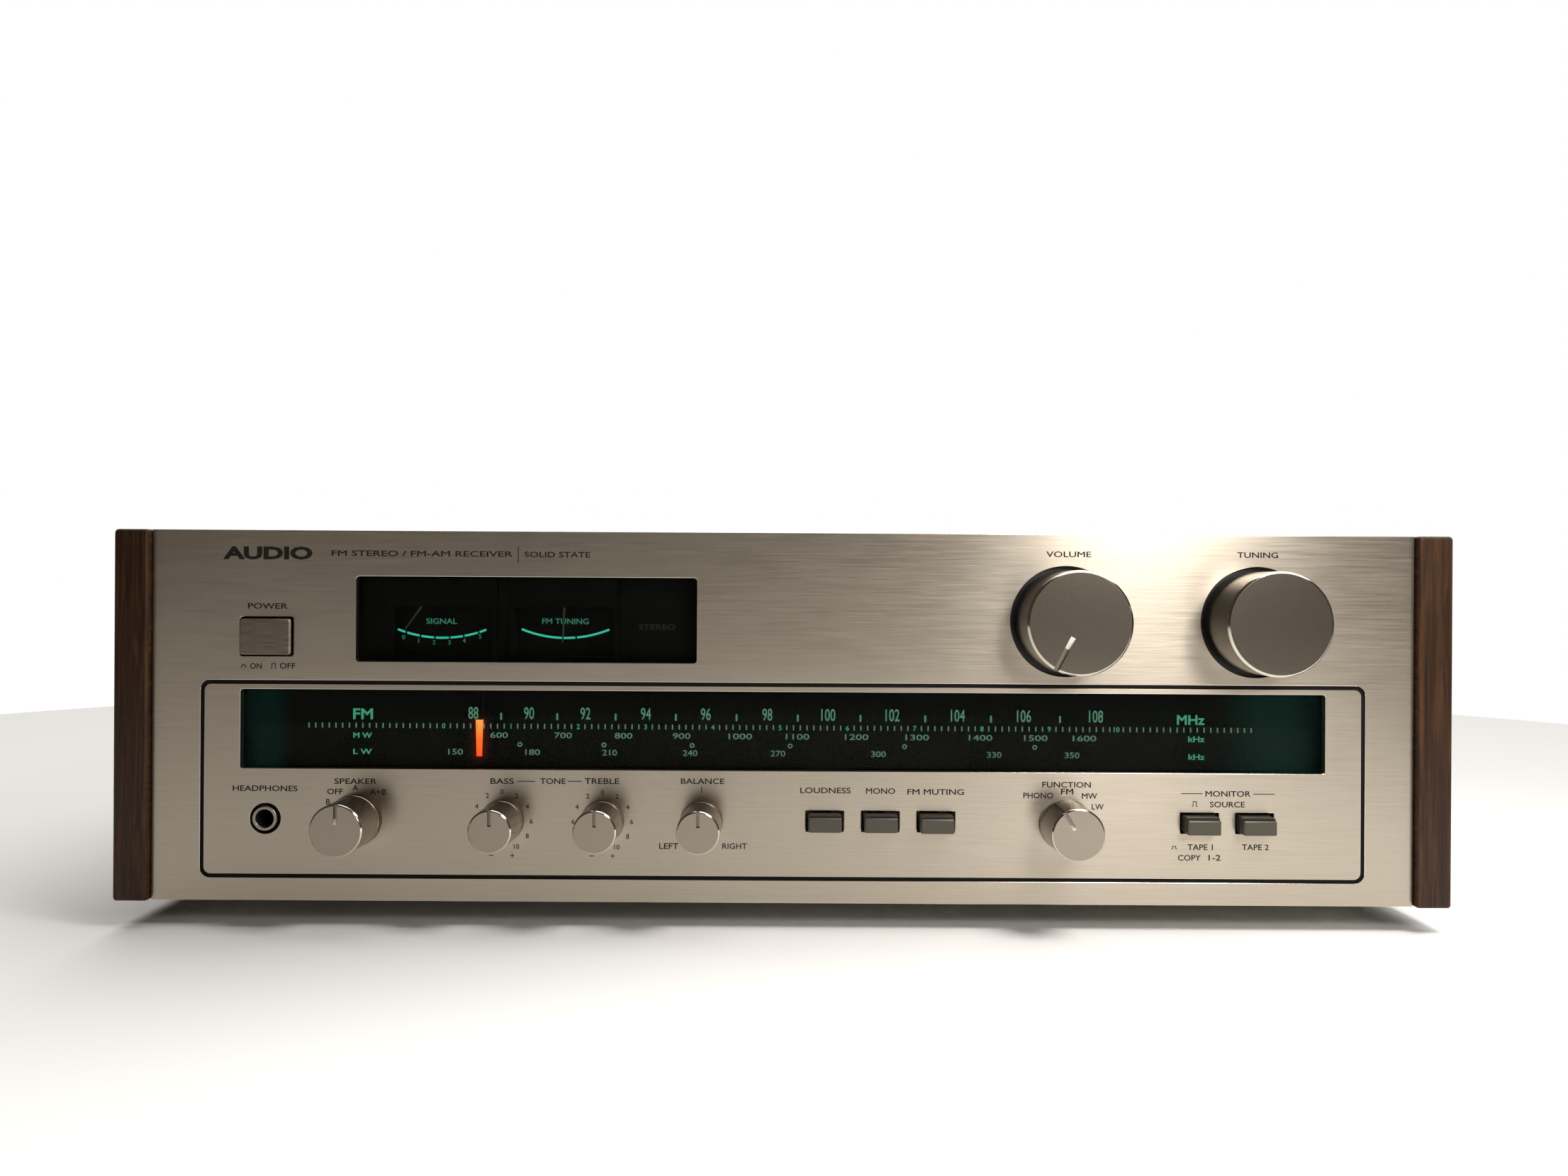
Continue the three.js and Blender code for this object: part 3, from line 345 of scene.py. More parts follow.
MATERIALS = {
    "panel": brushed_along(finish("brushed_panel", (0.452, 0.397, 0.325), 1.0, 0.325, [
        layer((0.06, 0.4, 4.2), tint=0.07, rough=0.035, bump=0.0006, detail=3), WORN]), "X", 0.75),
    "panel_edge": finish("panel_edge", (0.7, 0.63, 0.54), 1.0, 0.22, [SATIN]),
    "groove": finish("groove_paint", (0.005, 0.004, 0.0035), 0.0, 0.6, [FINE], Specular_IOR_Level=0.15),
    "large_face": finish("large_face", (0.32, 0.28, 0.225), 1.0, 0.24, [SATIN]),
    "large_side": finish("large_side", (0.2, 0.18, 0.15), 1.0, 0.22, [SATIN]),
    "knob_face": finish("knob_face", (0.24, 0.205, 0.165), 1.0, 0.2, [
        layer((3.2, 3.2, 0.05), tint=0.03, rough=0.02, bump=0.0003, detail=3), SATIN]),
    "knob_rim": finish("knob_rim", (0.62, 0.57, 0.49), 1.0, 0.14, [SATIN]),
    "knob_side": finish("knob_side", (0.33, 0.295, 0.25), 1.0, 0.24, [
        layer((0.2, 6.0, 0.2), tint=0.05, rough=0.03, bump=0.0012, detail=3)]),
    # Light colour of the knobs' notch ramps: a painted highlight where the ramp faces the light.
    "notch_ramp_highlight": finish("notch_ramp_highlight", (0.75, 0.7, 0.6), 0.35, 0.45, [SATIN]),
    "dull_notch": finish("dull_notch", (0.24, 0.21, 0.175), 1.0, 0.4, [SATIN]),
    "walnut_side": walnut("walnut_side", (0.12, 0.011, 0.16)),
    "walnut_edge": walnut("walnut_edge", (0.42, 0.2, 0.02)),
    # Lighter copy of the edge walnut for the cheeks' rounded edges: a painted highlight along them.
    "walnut_edge_highlight": walnut("walnut_edge_highlight", (0.42, 0.2, 0.02), 1.4),
    "black_plastic": finish("black_plastic", (0.012, 0.012, 0.012), 0.0, 0.42, [FINE]),
    "meter_face": finish("meter_face", (0.015, 0.013, 0.011), 0.0, 0.6, [FINE], Specular_IOR_Level=0.15),
    "button": finish("button_plastic", (0.066, 0.054, 0.038), 0.3, 0.42, [FINE, SMUDGES]),
    "window": finish("window_glass", (0.5, 0.55, 0.52), 0.0, 0.008, [
        layer(0.03, rough=0.006, detail=3)],
        Transmission_Weight=1.0, IOR=1.1),
    "steel": finish("zinc_steel", (0.5, 0.49, 0.44), 1.0, 0.4, [
        layer(0.06, tint=0.14, rough=0.1, detail=5), FINE]),
    "black_paint": finish("black_paint", (0.022, 0.021, 0.02), 0.0, 0.5, [
        layer(1.4, tint=0.2, rough=0.08, bump=0.03, detail=3), SMUDGES]),
    "jack_nickel": finish("jack_nickel", (0.3, 0.275, 0.235), 1.0, 0.35, [FINE]),
    "nickel": finish("nickel", (0.72, 0.70, 0.64), 1.0, 0.2, [FINE]),
    "brass": finish("brass", (0.55, 0.4, 0.18), 1.0, 0.3, [
        layer((0.3, 5.0, 0.3), tint=0.08, rough=0.05, bump=0.003), FINE]),
    "board": finish("phenolic_board", (0.26, 0.135, 0.04), 0.0, 0.5, [
        layer(0.1, tint=0.2, detail=6, distortion=1.0), FINE]),
    "core": finish("transformer_core", (0.035, 0.035, 0.038), 0.3, 0.5, [
        layer((2.0, 0.05, 0.05), tint=0.3, rough=0.1, bump=0.02)]),
    "sleeve": finish("capacitor_sleeve", (0.012, 0.032, 0.085), 0.0, 0.3, [FINE, SMUDGES]),
    "rubber": finish("rubber", (0.014, 0.014, 0.014), 0.0, 0.75, [
        layer(1.2, tint=0.2, rough=0.08, bump=0.02)]),
    "ferrite": finish("ferrite_holder", (0.02, 0.02, 0.021), 0.0, 0.45, [FINE]),
    "ink": finish("panel_ink", (0.013, 0.011, 0.009), 0.0, 0.6, [layer(0.6, tint=0.25)],
                  Specular_IOR_Level=0.15),
    "white_ink": finish("white_ink", (0.62, 0.61, 0.58), 0.0, 0.6, [layer(0.6, tint=0.1)]),
    "red_plastic": finish("red_plastic", (0.42, 0.015, 0.012), 0.0, 0.35, [FINE]),
    "white_plastic": finish("white_plastic", (0.6, 0.58, 0.53), 0.0, 0.35, [FINE]),
    "button_metal": finish("button_metal", (0.235, 0.2, 0.155), 1.0, 0.42, [
        layer((0.12, 0.3, 4.0), tint=0.3, rough=0.05, bump=0.0012, detail=3), SATIN]),
    "pointer_halo": soft_glow("pointer_halo", (0.5, 0.016, 0.004), 0.5, [
        (POINTER_X, MIDDLE - 8.6, 5.5, 4.6, 0.3)]),
    "screw": finish("zinc_screw", (0.6, 0.57, 0.48), 1.0, 0.3, [
        layer(2.0, tint=0.1, rough=0.08, bump=0.01)]),
    "legend": glow("dial_legend", (0.2, 0.5, 0.33), 0.8),
    "legend_band": glow("dial_legend_band", (0.1, 0.56, 0.33), 0.9),
    "legend_pale": glow("dial_legend_pale", (0.3, 0.56, 0.42), 0.62),
    "legend_dim": glow("dial_legend_dim", (0.3, 0.5, 0.4), 0.42, 0.4),
    "meter_arc": glow("meter_arc", (0.07, 0.8, 0.56), 1.1),
    "meter_figure": glow("meter_figure", (0.1, 0.42, 0.31), 0.75),
    # The unlit STEREO legend glows faintly: painted light that shows its dim print.
    "stereo_print_glow": glow("stereo_print_painted_glow", (0.09, 0.06, 0.045), 0.35),
    # Painted light on the dial's backplate: emission that fades from near its two ends, standing in for the
    # dial lamps' light.
    "backplate_painted_glow": soft_glow("dial_backplate_painted_glow", (0.02, 0.17, 0.12), 0.3, [
        (DIAL_ENDS[0] + 5, MIDDLE, 40, 12, 0.2), (DIAL_ENDS[1] - 14, MIDDLE, 40, 25, 0.35)]),
    "pointer_light": pointer_light(POINTER_FOOT, POINTER_TOP),
    "needle": finish("needle_paint", (0.12, 0.115, 0.105), 0.0, 0.5, [FINE]),
}


# ------------------------------------------------------------------ mesh helpers, all in mm

def put(bm, name, body, materials, replaces=(), sharp=32):
    """Makes a bmesh in mm into a piece that rides on a body."""
    bmesh.ops.scale(bm, vec=(MM, MM, MM), verts=bm.verts)
    mesh = bpy.data.meshes.new(name)
    bm.to_mesh(mesh)
    bm.free()
    for material in materials:
        mesh.materials.append(MATERIALS[material])
    mesh.polygons.foreach_set("use_smooth", [True] * len(mesh.polygons))
    mesh.set_sharp_from_angle(angle=math.radians(sharp))
    piece = add_object(name, mesh)
    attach(piece, body)
    if replaces:
        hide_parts(*replaces)
    return piece


def soften(piece, width, segments=2):
    """Rounds a piece's edges by width mm."""
    bevel = piece.modifiers.new("bevel", "BEVEL")
    bevel.width = width * MM
    bevel.segments = segments
    bevel.limit_method = "ANGLE"
    bevel.angle_limit = math.radians(32)
    bevel.harden_normals = True


def rounded(points, radius, steps=3):
    """An open profile with its inner corners turned into short curves."""
    out = [points[0]]
    for before, corner, after in zip(points, points[1:], points[2:]):
        a, b, c = Vector(before), Vector(corner), Vector(after)
        reach = min(radius, (a - b).length / 2.2, (c - b).length / 2.2)
        start, end = b + (a - b).normalized() * reach, b + (c - b).normalized() * reach
        for i in range(steps + 1):
            t = i / steps
            out.append(tuple(start * (1 - t) ** 2 + b * (2 * t * (1 - t)) + end * t ** 2))
    return out + [points[-1]]


def all_in(slot):
    """Puts every band of a turned shape in one slot."""
    return lambda radius, y: slot


def turned(bm, profile, x, z, sides=96, material=lambda radius, y: 0, axis="Y"):
    """Adds a turned shape. The profile is (radius, y) from front to back, and it starts and ends on the axis
    or closes on itself. material gives each band's slot from its middle radius and y."""
    rings = []
    for radius, along in profile:
        count = 1 if radius < 1e-6 else sides
        ring = []
        for i in range(count):
            angle = 2 * math.pi * i / sides
            across, up = radius * math.sin(angle), radius * math.cos(angle)
            place = (x + across, along, z + up) if axis == "Y" else (x + across, z + up, along)
            ring.append(bm.verts.new(place))
        rings.append(ring)
    closed = profile[0] == profile[-1]
    if closed:
        bmesh.ops.delete(bm, geom=rings[-1], context="VERTS")
        rings[-1] = rings[0]
    faces = []
    for (first, second), (start, end) in zip(zip(rings, rings[1:]), zip(profile, profile[1:])):
        slot = material((start[0] + end[0]) / 2, (start[1] + end[1]) / 2)
        for i in range(sides):
            j = (i + 1) % sides
            corners = [first[i % len(first)], first[j % len(first)],
                       second[j % len(second)], second[i % len(second)]]
            unique = list(dict.fromkeys(corners))
            if len(unique) < 3:
                continue
            face = bm.faces.new(unique)
            face.material_index = slot
            faces.append(face)
    bmesh.ops.recalc_face_normals(bm, faces=faces)


def rounded_rectangle(x, z, width, height, radius=0.0, steps=6):
    """Outline points, anticlockwise."""
    if radius <= 0:
        return [(x + i * width / 2, z + j * height / 2) for i, j in ((-1, -1), (1, -1), (1, 1), (-1, 1))]
    points = []
    for corner, (i, j) in enumerate(((1, 1), (-1, 1), (-1, -1), (1, -1))):
        for step in range(steps + 1):
            angle = math.pi / 2 * (corner + step / steps)
            points.append((x + i * (width / 2 - radius) + radius * math.cos(angle),
                           z + j * (height / 2 - radius) + radius * math.sin(angle)))
    return points


def circle(x, z, radius, sides=96):
    return [(x + radius * math.cos(2 * math.pi * i / sides), z + radius * math.sin(2 * math.pi * i / sides))
            for i in range(sides)]


def loft(bm, rings, slots, end_slot=0):
    """Adds a solid through rings of points, with a slot for each band between two rings."""
    rings = [[bm.verts.new(point) for point in ring] for ring in rings]
    faces = [bm.faces.new(rings[0]), bm.faces.new(rings[-1])]
    for face in faces:
        face.material_index = end_slot
    for first, second, slot in zip(rings, rings[1:], slots):
        for i in range(len(first)):
            j = (i + 1) % len(first)
            faces.append(bm.faces.new((first[i], first[j], second[j], second[i])))
            faces[-1].material_index = slot
    bmesh.ops.recalc_face_normals(bm, faces=faces)


def prism(bm, outline, near, far, slot=0):
    """Adds a solid between two planes: an outline in X and Z, from y near to y far."""
    loft(bm, [[(x, y, z) for x, z in outline] for y in (near, far)], [slot], slot)


def block(bm, x, y, z, slot=0):
    """Adds a box between three pairs of limits."""
    prism(bm, [(x[0], z[0]), (x[1], z[0]), (x[1], z[1]), (x[0], z[1])], y[0], y[1], slot)


def line_across(bm, x, z, width, height, near, far, slot=0):
    """Adds a printed bar, centred on (x, z)."""
    block(bm, (x - width / 2, x + width / 2), (near, far), (z - height / 2, z + height / 2), slot)


def strip(bm, x, z, radius, start, end, width, near, far, slot=0):
    """Adds a curved band: part of a ring about (x, z), with angles in degrees from straight down."""
    count = max(2, int(abs(end - start) / 1.5) + 1)
    angles = [math.radians(start + (end - start) * i / count) for i in range(count + 1)]

    def rim(r):
        return [(x + r * math.sin(a), z - r * math.cos(a)) for a in angles]

    prism(bm, rim(radius - width / 2) + rim(radius + width / 2)[::-1], near, far, slot)


def plate(outlines, near, far, bevel):
    """A flat plate with holes, as a bmesh: outlines in X and Z, the plate from y near to y far, its edges cut
    by bevel mm. The first outline is the rim and the rest are holes."""
    curve = bpy.data.curves.new("plate", "CURVE")
    curve.dimensions = "2D"
    curve.fill_mode = "BOTH"
    curve.extrude = (far - near) / 2 - bevel
    curve.bevel_depth = bevel
    curve.bevel_resolution = 1
    curve.offset = -bevel
    for outline in outlines:
        spline = curve.splines.new("POLY")
        spline.points.add(len(outline) - 1)
        for point, (a, b) in zip(spline.points, outline):
            point.co = (a, b, 0, 1)
        spline.use_cyclic_u = True
    return from_curve(curve, Matrix(((1, 0, 0, 0), (0, 0, -1, (near + far) / 2), (0, 1, 0, 0), (0, 0, 0, 1))))


def from_curve(curve, matrix):
    holder = bpy.data.objects.new(curve.name, curve)
    mesh = bpy.data.meshes.new_from_object(holder)
    bpy.data.objects.remove(holder)
    bpy.data.curves.remove(curve)
    mesh.transform(matrix)
    bm = bmesh.new()
    bm.from_mesh(mesh)
    bpy.data.meshes.remove(mesh)
    bmesh.ops.remove_doubles(bm, verts=bm.verts, dist=0.001)
    return bm


def merge(target, source, slot=None):
    """Moves the source's geometry into the target bmesh, in one material slot if it is given."""
    if slot is not None:
        for face in source.faces:
            face.material_index = slot
    mesh = bpy.data.meshes.new("part")
    source.to_mesh(mesh)
    source.free()
    target.from_mesh(mesh)
    bpy.data.meshes.remove(mesh)


CARVED_SLOTS = 8  # more than any carved piece has


def carve(bm, cutter):
    """The bmesh with the cutter cut out of it. The cut faces keep the cutter's slots."""
    made = []
    for name, source in (("carved", bm), ("cutter", cutter)):
        mesh = bpy.data.meshes.new(name)
        source.to_mesh(mesh)
        source.free()
        for _ in range(CARVED_SLOTS):
            mesh.materials.append(None)
        made.append(add_object(name, mesh))
    target, tool = made
    cut = target.modifiers.new("cut", "BOOLEAN")
    cut.object = tool
    cut.operation = "DIFFERENCE"
    cut.solver = "EXACT"
    bpy.context.view_layer.update()
    result = bmesh.new()
    result.from_object(target, bpy.context.evaluated_depsgraph_get())
    for item in made:
        mesh = item.data
        bpy.data.objects.remove(item)
        bpy.data.meshes.remove(mesh)
    return result


def write(bm, text, x, z, width=None, height=2.15, near=0.0, far=0.0, slot=0, weight=0.0, facing=1):
    """Adds a word centred on (x, z), scaled to its height and, if given, its width. weight thickens its
    strokes, in parts of the font's size. facing is 1 on the front and -1 on the back, where X runs the other
    way for the reader."""
    curve = bpy.data.curves.new("word", "FONT")
    curve.body = text
    curve.resolution_u = 3
    curve.extrude = 0.5
    curve.bevel_depth = weight
    word = from_curve(curve, Matrix.Identity(4))
    low = [min(v.co[i] for v in word.verts) for i in range(3)]
    high = [max(v.co[i] for v in word.verts) for i in range(3)]
    scale_up = height / (high[1] - low[1])
    scale_across = width / (high[0] - low[0]) if width else scale_up
    for vert in word.verts:
        a, b, depth = vert.co
        vert.co = (x + facing * (a - (low[0] + high[0]) / 2) * scale_across,
                   near + (depth - low[2]) / (high[2] - low[2]) * (far - near),
                   z + (b - (low[1] + high[1]) / 2) * scale_up)
    bmesh.ops.recalc_face_normals(word, faces=word.faces)
    merge(bm, word, slot)


# ------------------------------------------------------------------ front panel

def edged_plate(outlines, near, far, bevel):
    """A plate whose flat faces take slot 0 and whose cut edges take slot 1."""
    part = plate(outlines, near, far, bevel)
    part.normal_update()
    for face in part.faces:
        face.material_index = 0 if abs(face.normal.y) > 0.99 else 1
    return part


def front_panel():
    x, z, width, height, radius = GROOVE_OUTER
    groove_inner = (x, z, width - 2 * GROOVE_WIDTH, height - 2 * GROOVE_WIDTH, radius - GROOVE_WIDTH)
    size = PANEL_HIGH - PANEL_LOW
    field = [rounded_rectangle(0, MIDDLE, size.x, size.z), rounded_rectangle(*METER_OPENING),
             rounded_rectangle(*POWER_OPENING), rounded_rectangle(*GROOVE_OUTER)]
    field += [circle(*middle(knob).xz, LARGE_HOLE, 128) for knob in LARGE_KNOBS]
    island = [rounded_rectangle(*groove_inner), rounded_rectangle(*DIAL_OPENING)]
    island.append(circle(*middle("headphone_jack").xz, JACK_HOLE))
    island += [circle(middle(knob).x, SMALL_ROW, 4, 32) for knob in SMALL_KNOBS]
    island += [rounded_rectangle(middle(button).x, middle(button).z + 0.3, 14, 7.6, 0.25)
               for button in PUSH_BUTTONS]

    def inside(point, outline, margin):
        return (abs(point.x - outline[0]) < outline[2] / 2 + margin
                and abs(point.z - outline[1]) < outline[3] / 2 + margin)

    bm = bmesh.new()
    outer_part = edged_plate(field, FRONT, PANEL_BACK, 0.16)
    inner_part = edged_plate(island, FRONT, PANEL_BACK, 0.16)
    for part, is_groove in ((outer_part, lambda c: inside(c, GROOVE_OUTER, 0.02)),
                            (inner_part, lambda c: not inside(c, groove_inner, -0.02))):
        for face in part.faces:
            if face.material_index == 1 and is_groove(face.calc_center_median()):
                face.material_index = 2
        merge(bm, part)
    floor = [rounded_rectangle(*GROOVE_OUTER), rounded_rectangle(*groove_inner)]
    merge(bm, plate(floor, FRONT + GROOVE_DEPTH, PANEL_BACK - 0.4, 0.02), 2)
    put(bm, "brushed_front_panel", body_of("front_panel"), ["panel", "panel_edge", "groove"],
        ["front_panel"], sharp=8)


def button_gaskets():
    """Black plates behind the panel that darken the gaps round the push buttons: painted shade in the gaps.
    """
    bm = bmesh.new()
    near, far = PANEL_BACK + 0.3, PANEL_BACK + 1.3
    for group in (PUSH_BUTTONS[:3], PUSH_BUTTONS[3:]):
        centres = [middle(button) for button in group]
        left, right = centres[0].x - 9.5, centres[-1].x + 9.5
        outline = rounded_rectangle((left + right) / 2, centres[0].z, right - left, 14, 1.0)
        holes = [rounded_rectangle(c.x, c.z, 12.8, 7.0, 0.4) for c in centres]
        merge(bm, plate([outline, *holes], near, far, 0.1), 0)
    put(bm, "button_gaskets", body_of("front_panel"), ["black_plastic"])


# ------------------------------------------------------------------ knobs

KNOB_FACE, KNOB_RIM, KNOB_SIDE, KNOB_NOTCH, KNOB_RAMP = range(5)


def at_knob(x, z, tilt):
    """From the world's axis to a knob's, turned tilt degrees clockwise."""
    return Matrix.Translation((x, 0, z)) @ Matrix.Rotation(math.radians(tilt), 4, "Y")


def notch_cutter(x, z, face, rim, tilt, length, width, depth, ramp):
    """A groove cut into a knob's face, from past its rim towards its axis, turned tilt degrees clockwise.
    Its floor rises to the face over the last ramp mm."""
    bm = bmesh.new()
    inner = rim - length
    profile = [(rim + 1, face - 1), (rim + 1, face + depth), (inner + ramp, face + depth), (inner, face),
               (inner, face - 1)]
    sides = [[bm.verts.new((across, y, reach)) for reach, y in profile] for across in (-width / 2, width / 2)]
    bm.faces.new(sides[0]).material_index = KNOB_NOTCH
    bm.faces.new(sides[1]).material_index = KNOB_NOTCH
    for i in range(len(profile)):
        j = (i + 1) % len(profile)
        wall = bm.faces.new((sides[0][i], sides[0][j], sides[1][j], sides[1][i]))
        # A ramp longer than 1 mm takes the light ramp slot, a painted highlight.
        wall.material_index = KNOB_RAMP if i == 2 and ramp > 1 else KNOB_NOTCH
    bmesh.ops.recalc_face_normals(bm, faces=bm.faces)
    bm.transform(at_knob(x, z, tilt))
    return bm


def large_knob(node, tilt=None):
    """A solid turned knob with a polished chamfer and a satin side. With a tilt, it has a notch."""
    low, high = extent(node)
    x, z = middle(node).xz
    radius, face, back = (high.x - low.x) / 2, low.y, high.y
    chamfer = 0.75
    edge = rounded([(radius - chamfer - 0.25, face), (radius - chamfer, face), (radius, face + chamfer),
                    (radius, face + 1.4)], 0.12)
    bore, bore_depth = 3.3, 12
    profile = [(0, face), (radius * 0.6, face), *edge, (radius, back - 0.8),
               (radius - 0.35, back - 0.45), (radius - 0.35, back), (bore, back),
               (bore, back - bore_depth), (0, back - bore_depth)]

    def band(r, y):
        if y <= face + 0.02:
            return KNOB_FACE
        return KNOB_RIM if y < face + chamfer + 0.1 else KNOB_SIDE

    bm = bmesh.new()
    turned(bm, profile, x, z, 160, band)
    if tilt is not None:
        bm = carve(bm, notch_cutter(x, z, face, radius, tilt, length=13, width=1.8, depth=1.2, ramp=4.5))
    materials = ["large_face", "knob_rim", "large_side", "dull_notch", "notch_ramp_highlight"]
    put(bm, node + "_turned", body_of(node), materials, [node], sharp=13)


SMALL_NOTCH = 0.76  # a small knob's notch is this share of its radius long


def small_knob(node, tilt=0, bright_notch=False):
    """A turned knob on its shaft, with a polished chamfer, a foot flange, and a notch that goes on as a line
    down its side."""
    low, high = extent(node)
    x, z = middle(node).x, SMALL_ROW
    radius, face, end = (high.x - low.x) / 2, low.y, high.y
    back, chamfer = FRONT - 0.5, 0.5
    edge = rounded([(radius - chamfer - 0.35, face), (radius - chamfer - 0.15, face),
                    (radius - 0.15, face + chamfer), (radius - 0.15, face + 1.2)], 0.1)
    profile = [(0, face), (radius * 0.6, face), *edge, (radius - 0.15, back - 2.2), (radius, back - 2.0),
               (radius, back - 1.2), (radius - 0.6, back - 0.9), (radius - 0.6, back), (3, back),
               (3, end), (0, end)]

    def band(r, y):
        if y <= face + 0.02:
            return KNOB_FACE
        return KNOB_RIM if y < face + chamfer + 0.1 or back - 2.1 < y < back - 1.1 else KNOB_SIDE

    bm = bmesh.new()
    turned(bm, profile, x, z, 112, band)
    width = 1.4 if radius > 9 else 1.2
    # A bright notch gets a long ramp, which carries the painted highlight.
    ramp = 2.0 if bright_notch else 0.1
    bm = carve(bm, notch_cutter(x, z, face, radius, tilt, radius * SMALL_NOTCH, width, depth=1.0, ramp=ramp))
    line = bmesh.new()
    block(line, (-0.28, 0.28), (face + 0.5, back - 2.6), (radius - 0.5, radius + 1), KNOB_NOTCH)
    line.transform(at_knob(x, z, tilt))
    bm = carve(bm, line)
    materials = ["knob_face", "knob_rim", "knob_side", "dull_notch", "notch_ramp_highlight"]
    put(bm, node + "_turned", body_of(node), materials, [node], sharp=13)


def knobs():
    large_knob("volume_knob", -152.5)
    large_knob("tuning_knob")
    small_knob("speaker_knob", 0, True)
    for knob in ("bass_knob", "treble_knob", "balance_knob"):
        small_knob(knob)
    small_knob("function_knob", -32, True)


# ------------------------------------------------------------------ buttons and headphone socket

def push_button(node):
    """A satin cap on its stem, with a groove behind its face, which is a little lower than the rest."""
    low, high = extent(node)
    x, z = middle(node).xz
    half_width, half_height = (high.x - low.x) / 2, (high.z - low.z) / 2
    face, back = low.y, FRONT + 2
    bands = [(0.5, face), (0.0, face + 0.35), (0.0, face + 0.95), (0.55, face + 1.0), (0.55, face + 1.45),
             (0.0, face + 1.5), (0.0, back)]
    rings = []
    for number, (inset, y) in enumerate(bands):
        drop = 0.9 if number < 5 else 0
        outline = rounded_rectangle(x, z, 2 * (half_width - inset), 2 * (half_height - inset),
                                    max(0.2, 0.55 - inset / 2), 4)
        rings.append([(a, y, b - drop if b > z else b) for a, b in outline])
    bm = bmesh.new()
    # The groove's walls and floor take the black slot: painted shade in the groove.
    loft(bm, rings, [0, 0, 1, 1, 1, 0])
    block(bm, (x - 2.5, x + 2.5), (back - 0.01, high.y), (z - 1.5, z + 1.5), 1)
    piece = put(bm, node + "_cap", body_of(node), ["button", "black_plastic"], [node],
                sharp=12)
    soften(piece, 0.08)


def power_button():
    """A brushed metal cap, bevelled all round, on a black slider."""
    low, high = extent("power_button")
    x, z = middle("power_button").xz
    width, height, face = high.x - low.x, high.z - low.z, low.y
    bevel, depth = 0.55, 8
    rings = []
    for inset, y in ((bevel, face), (0, face + bevel), (0, face + depth)):
        outline = rounded_rectangle(x, z, width - 2 * inset, height - 2 * inset, 0.9 - inset * 0.8, 5)
        rings.append([(a, y, b) for a, b in outline])
    bm = bmesh.new()
    loft(bm, rings, [1, 2])
    block(bm, (x - 3, x + 3), (face + depth, high.y), (z - 3, z + 3), 3)
    put(bm, "power_button_cap", body_of("power_button"),
        ["button_metal", "button_metal", "large_side", "black_plastic"], ["power_button"])


def headphone_jack():
    """The socket's round nose with its ring, in front of its square housing."""
    low, high = extent("headphone_jack")
    x, z = middle("headphone_jack").xz
    nose, bore = low.y, 3.25
    profile = rounded([(bore, high.y - 0.3), (bore, nose + 0.3), (bore + 0.2, nose), (4.3, nose),
                       (4.5, nose + 0.25), (4.5, nose + 8), (4.5, high.y - 0.3), (bore, high.y - 0.3)], 0.12)
    profile[-1] = profile[0]
    bm = bmesh.new()
    turned(bm, profile, x, z, 80, lambda r, y: 1 if r < bore + 0.1 and y > nose + 2 else 0)
    housing = [rounded_rectangle(x, z, 15, 15, 1), circle(x, z, 4.5, 48)]
    merge(bm, plate(housing, nose + 8, high.y, 0.2), 1)
    put(bm, "headphone_socket", body_of("headphone_jack"), ["jack_nickel", "black_plastic"],
        ["headphone_jack"])


# ------------------------------------------------------------------ lettering on the panel

# How much each kind of lettering is thickened, in parts of the font's size.
PANEL_WEIGHT = 0.013
TITLE_WEIGHT = 0.045
BAND_WEIGHT = 0.02
LOGGING_WEIGHT = 0.01
NUMBER_WEIGHT = 0.006
METER_WEIGHT = 0.004
REAR_WEIGHT = 0.008
INK_STROKE = 0.28  # height of the printed bars


